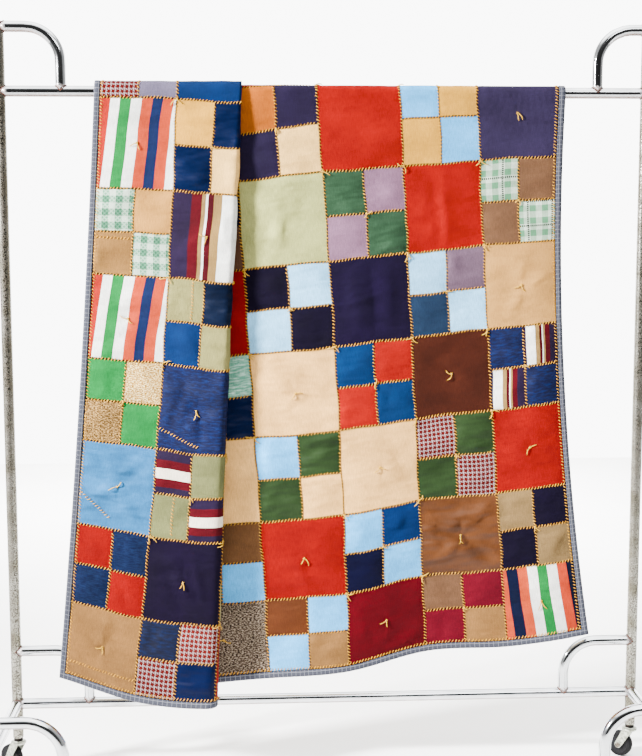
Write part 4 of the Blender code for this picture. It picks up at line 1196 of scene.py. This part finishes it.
def tube_mesh(name, points, finish, start, end, weld_marks):
    """A round tube swept along a plane path, coped or domed at its ends.

    start and end are the direction of the neighbour's axis, for a cope, or
    None for a rounded plug.  Ring points of a coped end move along the path
    until they lie on the neighbour's cylinder, whose axis passes through the
    path's own end point.
    """
    points = np.asarray(points, float)
    steps = np.diff(points, axis=0)
    runs = np.concatenate(([0.0], np.cumsum(np.linalg.norm(steps, axis=1))))
    total = runs[-1]
    near = [TUBE_R + np.array(END_STATIONS), total - TUBE_R - np.array(END_STATIONS)[::-1]]
    inner = runs[(runs > near[0][-1]) & (runs < near[1][0])]
    spare = np.arange(near[0][-1] + 0.05, near[1][0] - 0.02, SPARE_STEP)
    if start is None:
        near[0] = np.concatenate(([0.0], near[0]))
    if end is None:
        near[1] = np.concatenate((near[1], [total]))
    marks = [mark + step for mark in weld_marks for step in MARK_STEPS]
    stations = np.unique(np.concatenate((near[0], inner, spare, near[1], marks)))
    centre, ahead, back = (
        np.stack([np.interp(stations + step, runs, points[:, k]) for k in range(3)], -1)
        for step in (0.0, 0.002, -0.002)
    )
    axis = ahead - back
    axis /= np.linalg.norm(axis, axis=1, keepdims=True)
    flat = np.cross(steps[0], steps[-1])
    if np.linalg.norm(flat) < 1e-9:
        flat = np.cross(steps[0], Z_WAY if abs(steps[0][2]) < 1e-6 else Y_WAY)
    flat = flat / np.linalg.norm(flat)
    rise = np.cross(axis, flat)
    angle = 2 * pi * np.arange(TUBE_SIDES) / TUBE_SIDES
    around = rise[:, None] * np.sin(angle)[None, :, None] + flat * np.cos(angle)[None, :, None]
    rings = centre[:, None] + TUBE_R * around
    weld = np.zeros(len(stations))
    for place in weld_marks:
        weld = np.maximum(weld, 0.5 * np.exp(-((stations - place) / MARK_REACH) ** 2))
    lids = []
    for ring, way, sign, place in ((0, start, -1, TUBE_R), (-1, end, 1, total - TUBE_R)):
        if way is not None:
            across = np.cross(axis[ring], way)
            off = TUBE_R * (around[ring] @ (across / np.linalg.norm(across)))
            short = np.sqrt(np.maximum(TUBE_R ** 2 - off ** 2, 0.0)) - TUBE_R
            rings[ring] = rings[ring] - sign * short[:, None] * axis[ring]
            weld = np.maximum(weld, np.exp(-np.abs(stations - place) / STAIN_FADE))
        # a shallow dome on a plug, a flat lid inside a neighbour
        flat_lid = rings[ring] - rings[ring].mean(0)
        for share, dome in LID_RINGS:
            height = dome if way is None else -LID_DEPTH
            lids.append(centre[ring] + flat_lid * share + sign * height * axis[ring])
    rings = np.concatenate((np.array(lids[:3])[::-1], rings, np.array(lids[3:])))
    weld = np.concatenate(([weld[0]] * 3, weld, [weld[-1]] * 3))
    faces = grid_faces(len(rings), TUBE_SIDES, wrap_columns=True)
    last = (len(rings) - 1) * TUBE_SIDES
    caps = fan_faces(TUBE_SIDES)[:, ::-1], fan_faces(TUBE_SIDES, last)
    faces = np.concatenate((faces, *caps))
    piece = make_mesh(name, rings.reshape(-1, 3) + ORIGIN, faces, [finish])
    set_points(piece, "weld", np.repeat(weld, TUBE_SIDES))
    return piece


def weld_bead(centre, axis, neighbour):
    """Rings of a lumpy bead round a coped joint; centre is on the
    neighbour's axis, axis points along the joined tube away from it."""
    axis, neighbour = np.array(axis, float), np.array(neighbour, float)
    across = np.cross(axis, neighbour)
    angle = 2 * pi * np.arange(BEAD_POINTS) / BEAD_POINTS
    out = across * np.sin(angle)[:, None] + neighbour * np.cos(angle)[:, None]
    seat = TUBE_R * np.abs(np.cos(angle))
    path = np.array(centre) + out * (TUBE_R + BEAD_R / 4) + axis * (seat + BEAD_R / 2)[:, None]
    lumps = BEAD_R * (1 + 0.22 * np.sin(9 * angle) + 0.12 * np.sin(17 * angle + 1))
    ring = (2 * pi * np.arange(6) / 6)[None, :, None]
    ring = out[:, None] * np.cos(ring) + axis * np.sin(ring)
    return path[:, None] + lumps[:, None, None] * ring


def make_rack(bright, dull, rust):
    """Every tube of the rack, each standing for its solid, and its welds."""
    tubes, beads = [], []
    levels = {(side, y, z): z + rise for _, side, y, z, _, rise in BRACES}
    for side, end in ((-1, "left"), (1, "right")):
        x = side * HALF_SPAN
        joints = (0.0, TOP_RAIL_Z), (0.0, LOW_RAIL_Z), (-BASE_DEPTH, LOW_RAIL_Z)
        heads = [levels[(side, y, z)] for y, z in joints]
        head, low = (level + TUBE_HEAD - PLUG_RISE for level in (heads[0], heads[2]))
        marks = [z - TUBE_FOOT_Z for z in (*heads[:2], TOP_RAIL_Z, LOW_RAIL_Z) if z < head - 0.03]
        path = (x, 0, TUBE_FOOT_Z), (x, 0, head)
        tubes.append((f"upright_{end}", path, dull, None, None, marks))
        path = (x, -BASE_DEPTH, TUBE_FOOT_Z), (x, -BASE_DEPTH, low)
        marks = [LOW_RAIL_Z - TUBE_FOOT_Z]
        tubes.append((f"front_post_{end}", path, bright, None, None, marks))
        path = (x, 0, LOW_RAIL_Z), (x, -BASE_DEPTH, LOW_RAIL_Z)
        tubes.append((f"side_leg_{end}", path, bright, Z_WAY, Z_WAY, ()))
        for point, way in zip(path, (-1, 1)):
            beads.append(weld_bead(point, (0, way, 0), Z_WAY))
        for y, z in joints:
            beads.append(weld_bead((x, y, z), (-side, 0, 0), Z_WAY))
    feet = {}
    for name, side, y, z, reach, rise in BRACES:
        post, foot = side * HALF_SPAN, side * (HALF_SPAN - reach)
        feet.setdefault((y, z), []).append(foot + HALF_SPAN)
        turn = np.linspace(0, pi / 2, 17)
        bend = np.stack((
            foot + side * BEND_R * (1 - np.sin(turn)),
            np.full_like(turn, y),
            z + rise - BEND_R * (1 - np.cos(turn)),
        ), -1)
        path = np.concatenate((((post, y, z + rise),), bend, ((foot, y, z),)))
        tubes.append((name, path, bright, Z_WAY, X_WAY, ()))
        beads.append(weld_bead((post, y, z + rise), (-side, 0, 0), Z_WAY))
        beads.append(weld_bead((foot, y, z), Z_WAY, X_WAY))
    for name, y, z in (
        ("top_rail", 0.0, TOP_RAIL_Z), ("low_rail", 0.0, LOW_RAIL_Z),
        ("front_rail", -BASE_DEPTH, LOW_RAIL_Z),
    ):
        path = (-HALF_SPAN, y, z), (HALF_SPAN, y, z)
        tubes.append((name, path, bright, Z_WAY, Z_WAY, feet[(y, z)]))
    for name, *shape in tubes:
        piece = tube_mesh(f"chrome_{name}", *shape)
        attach(piece, "root")
        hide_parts(name)
    count, sides = beads[0].shape[:2]
    ring = grid_faces(count, sides, wrap_rows=True, wrap_columns=True)
    faces = np.concatenate([ring + i * count * sides for i in range(len(beads))])
    welds = make_mesh("weld_beads", np.concatenate(beads).reshape(-1, 3) + ORIGIN, faces, [rust])
    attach(welds, "root")


# ---- Casters
WHEEL_SIDES = 48
# Turned about the axle, (radius, half width) from the bore's rim outwards.
WHEEL_SIDE = (
    (0.0036, 0.0112), (0.0085, 0.0114), (0.0105, 0.0106), (0.0125, 0.0092), (0.0170, 0.0088),
    (0.0205, 0.0090), (0.0215, 0.0100), (0.0262, 0.0101), (0.0295, 0.0092), (0.0312, 0.0068),
    (0.03165, 0.0030),
)
HUB_RINGS = 6
AXLE_SIDE = (
    (0.0002, 0.0172), (0.0028, 0.0172), (0.0032, 0.0184), (0.0052, 0.0184), (0.0062, 0.0176),
    (0.0062, 0.0154), (0.0031, 0.0153),
)
HEAD_PROFILE = (
    (0.0002, 0.0790), (0.0120, 0.0790), (0.0128, 0.0780), (0.0150, 0.0774), (0.0178, 0.0768),
    (0.0185, 0.0752), (0.0182, 0.0728), (0.0170, 0.0716), (0.0120, 0.0712), (0.0002, 0.0712),
)
COLLAR_PROFILE = (
    (0.0002, 0.0880), (0.0098, 0.0880), (0.0109, 0.0871), (0.0110, 0.0836), (0.0104, 0.0829),
    (0.0110, 0.0822), (0.0110, 0.0800), (0.0102, 0.0792), (0.0002, 0.0792),
)
# Fork plate: across its thickness, (place, how far its outline is drawn in).
FORK_LAYERS = ((0.0125, 0.93), (0.0130, 1.0), (0.0145, 1.0), (0.0150, 0.93))
FORK_TOP_Z = 0.0735
BOSS_R = 0.0084


def turned(profile, sides=WHEEL_SIDES, lay=False):
    """Vertices and quads of a closed (radius, height) profile turned about Z,
    or about Y through the axle where lay is set."""
    angle = 2 * pi * np.arange(sides) / sides
    radius, height = np.array(profile).T[:, :, None]
    a, b = radius * np.cos(angle), radius * np.sin(angle)
    h = np.broadcast_to(height, a.shape)
    faces = grid_faces(len(profile), sides, wrap_rows=True, wrap_columns=True)
    if lay:
        return np.stack((a - TRAIL, h, b + WHEEL_AXLE_Z), -1).reshape(-1, 3), faces
    return np.stack((a, b, h), -1).reshape(-1, 3), faces[:, ::-1]


def both_sides(profile):
    """A half profile and its mirror, joined into one closed profile."""
    return [(r, h) for r, h in profile] + [(r, -h) for r, h in profile[::-1]]


def fork_leg(side):
    """A pressed plate: straight flanks from the head down to a round boss.

    Four outlines, drawn in by the edge's rounding on both faces.
    """
    arc = np.linspace(radians(-205), radians(-28), 19)
    boss = np.stack((BOSS_R * np.cos(arc) - TRAIL, BOSS_R * np.sin(arc) + WHEEL_AXLE_Z), -1)
    outline = np.concatenate((((-0.0130, FORK_TOP_Z),), boss, ((0.0118, FORK_TOP_Z),)))
    middle = outline.mean(0)
    # one more point along the top, for an even count
    outline = np.concatenate((outline, (outline[[0, -1]].mean(0),)))
    rings = []
    for y, draw in FORK_LAYERS:
        flat = middle + (outline - middle) * draw
        rings.append(np.stack((flat[:, 0], np.full(len(flat), side * y), flat[:, 1]), -1))
    count = len(outline)
    sheet = grid_faces(len(rings), count, wrap_columns=True)[:, ::-1]
    low, high = (fan_faces(count, layer * count) for layer in (0, len(rings) - 1))
    faces = np.concatenate((sheet, low, high[:, ::-1]))
    return np.concatenate(rings), faces[:, ::side]


def join_parts(parts):
    """Vertices, quads and material numbers of several (points, faces, slot)."""
    points, faces, slots, count = [], [], [], 0
    for part_points, part_faces, slot in parts:
        points.append(part_points)
        faces.append(part_faces + count)
        slots.append(np.broadcast_to(slot, len(part_faces)))
        count += len(part_points)
    return np.concatenate(points), np.concatenate(faces), np.concatenate(slots)


def make_casters(zinc, black, rubber, hub, rust):
    """A wheel and its swivel fork at each corner, all turned the same way."""
    turn = np.array((
        (cos(SWIVEL), -sin(SWIVEL), 0.0), (sin(SWIVEL), cos(SWIVEL), 0.0), (0.0, 0.0, 1.0),
    ))
    tyre = turned(both_sides(WHEEL_SIDE), lay=True)
    ring = np.arange(len(tyre[1])) // WHEEL_SIDES
    last = 2 * len(WHEEL_SIDE) - 1
    hubs = np.where((ring < HUB_RINGS) | (ring >= last - HUB_RINGS), 1, 0)
    hardware = join_parts([
        (*turned(HEAD_PROFILE), 0),
        (*turned(COLLAR_PROFILE), 1),
        (*fork_leg(1), 0),
        (*fork_leg(-1), 0),
        (*turned(both_sides(AXLE_SIDE), 24, lay=True), 2),
    ])
    for name, side, y in CASTERS:
        seat = np.array((side * HALF_SPAN, y, 0.0)) + ORIGIN
        for kind, (points, faces, slots), materials, slot, nodes in (
            ("wheel", (*tyre, hubs), (rubber, hub), "wheel_rubber", ("wheel",)),
            ("swivel", hardware, (zinc, black, rust), "zinc_fork", ("fork", "collar", "axle")),
        ):
            piece = make_mesh(
                f"{kind}_{name}", points @ turn.T + seat, faces, materials, indexes=slots
            )
            piece.data.set_sharp_from_angle(angle=radians(38))
            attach(piece, "root")
            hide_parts(*(f"caster_{node}_{name}" for node in nodes))


# ---- Stage, lights and camera
CAMERA_AT = (-0.181, -3.113, 1.324)
CAMERA_TURN = radians(-3.046), radians(-6.481), radians(-0.098)
CAMERA_LENS = 61.905
BACKDROP = 9.5
ROOM_BLACK = 0.04
FLOOR_HALF = 4.5
FLOOR_FRONT = 2.2           # nearer in front, so that the chrome sees the room's dark end
# Light from each height in tenths, 0 straight down to 1 straight up; how much
# of it the backdrop takes; and how dark the far end of the room is.
WORLD_LEVELS = ((0.0, 0.05), (0.48, 0.07), (0.60, 0.06), (0.84, 0.10), (0.92, 0.70), (1.0, 0.85))
BACKDROP_BAND = ((0.25, 0.3), (0.38, 1.0), (0.62, 1.0), (0.75, 0.0))
ROOM_DARK = ((0.30, 0.9), (0.42, 1.0), (0.72, 1.0), (0.80, 0.8), (0.88, 0.0))


def make_stage():
    """A pale floor with a faint mottle, far wider than the part."""
    made, tree, shader = new_material("pale floor", Specular_IOR_Level=0.1, Roughness=0.9)
    mottle = add(tree, "TexNoise", add(tree, "TexCoord", out="Object"), Scale=2.0, Detail=3.0)
    colour = add(tree, "ValToRGB", mottle, stops=((0.3, "#f6f5f3"), (0.7, "#fbfaf9")))
    dress(shader, Base_Color=colour)
    size, near = FLOOR_HALF, FLOOR_FRONT
    points = [(-size, -near, 0), (size, -near, 0), (size, size, 0), (-size, size, 0)]
    make_mesh("floor", points, [(0, 1, 2, 3)], [made], smooth=False)


def make_world():
    """A bright studio: white behind the rack and overhead, less in front,
    and a darker far end of the room low down in front, for the chrome."""
    world = bpy.data.worlds.new("studio")
    world.use_nodes = True
    tree = world.node_tree
    tree.nodes.clear()
    way = add(tree, "TexCoord", out="Generated")
    depth, up = add(tree, "SeparateXYZ", way, out=("Y", "Z"))
    height = add(tree, "MapRange", up, -1.0, 1.0)
    level = add(tree, "ValToRGB", height, stops=WORLD_LEVELS)
    for near, far, band, light in (
        (0.3, 0.8, BACKDROP_BAND, BACKDROP), (-0.30, -0.75, ROOM_DARK, ROOM_BLACK),
    ):
        part = add(tree, "MapRange", depth, near, far, interpolation_type="SMOOTHSTEP")
        share = add(tree, "ValToRGB", height, stops=band)
        part = add(tree, "Math", part, share, operation="MULTIPLY")
        level = add(tree, "Mix", part, level, light / 10, data_type="FLOAT")
    level = add(tree, "Math", level, 10.0, operation="MULTIPLY")
    add(tree, "OutputWorld", add(tree, "Background", Strength=level, Color="#ffffff"))
    bpy.context.scene.world = world


def make_light(name, place, aim, size, power, spread=160.0):
    """An area light that looks at a point."""
    data = bpy.data.lights.new(name, "AREA")
    data.shape = "RECTANGLE"
    data.size, data.size_y = size
    data.spread = radians(spread)
    data.energy = power
    lamp = bpy.data.objects.new(name, data)
    lamp.location = np.array(place) + ORIGIN
    lamp.rotation_euler = (Vector(aim) - Vector(place)).to_track_quat("-Z", "Y").to_euler()
    bpy.context.scene.collection.objects.link(lamp)


def make_camera():
    """The camera: yaw about Z, then pitch, then roll about the view axis."""
    data = bpy.data.cameras.new("camera")
    data.sensor_width = 36.0
    data.lens = CAMERA_LENS
    data.clip_end = 200.0
    yaw, pitch, roll = CAMERA_TURN
    turns = Matrix.Rotation(yaw, 4, "Z"), Matrix.Rotation(pi / 2 + pitch, 4, "X")
    camera = bpy.data.objects.new("camera", data)
    place = Matrix.Translation(np.array(CAMERA_AT) + ORIGIN)
    camera.matrix_world = place @ turns[0] @ turns[1] @ Matrix.Rotation(roll, 4, "Z")
    bpy.context.scene.collection.objects.link(camera)
    bpy.context.scene.camera = camera


# ---- Build
make_camera()
make_world()
make_stage()
make_light("key from the left", (-3.9, -1.5, 2.6), (0.0, 0.0, 0.95), (0.5, 0.5), 225.0, 55.0)
make_light("front fill", (1.4, -3.6, 4.0), (0.0, 0.0, 0.95), (2.0, 1.0), 52.0)
make_light("backdrop wash", (0.0, 2.2, 3.2), (0.0, 3.6, 0.0), (3.0, 1.0), 450.0, 100.0)

panel = make_panel()
binding = make_binding()
gold = yarn_material("golden yarn", "#7c500e", "#bd8820")
cream_yarn = yarn_material("pale golden yarn", "#825c14", "#c0962c")
stitches = make_stitches(gold)
ties = make_ties(cream_yarn)
for piece, slot in (
    (panel, "quilt_cloth"), (binding, "binding_cloth"), (stitches[0], "quilt_cloth"),
    (stitches[1], "quilt_cloth"), (ties, "quilt_cloth"),
):
    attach(piece, "root")
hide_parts("quilt_panel")
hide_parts("binding_left", "binding_right", "binding_front", "binding_back")

bright_chrome = chrome_material(
    "bright chrome", "#cfd1d3", "#bcbec0", 0.05, 0.0, 1.0, 520.0, ("#2e1608", "#6e3c18")
)
dull_chrome = chrome_material(
    "dull pitted chrome", "#96948a", "#6a6758", 0.18, 0.95, 1.1, 360.0, ("#3a2e1e", "#2a2014")
)
weld_rust = worn_material("rusted weld", "#4a1c05", "#180a04", 0.1, 0.75, 600.0, 0.0005)
zinc_plate = worn_material("zinc plate", "#b4b7a9", "#6f7063", 0.85, 0.34, 190.0, 0.0002)
black_plastic = worn_material("black plastic", "#140e0a", "#050404", 0.0, 0.50, 260.0, 0.0002)
wheel_rubber = worn_material("wheel rubber", "#0d0d0e", "#050506", 0.0, 0.62, 320.0, 0.0003)
hub_black = worn_material("black hub", "#121214", "#080809", 0.0, 0.55, 240.0, 0.0002)
axle_rust = worn_material("worn axle bolt", "#6f675a", "#2c2018", 0.7, 0.40, 420.0, 0.0002)
make_rack(bright_chrome, dull_chrome, weld_rust)
make_casters(zinc_plate, black_plastic, wheel_rubber, hub_black, axle_rust)
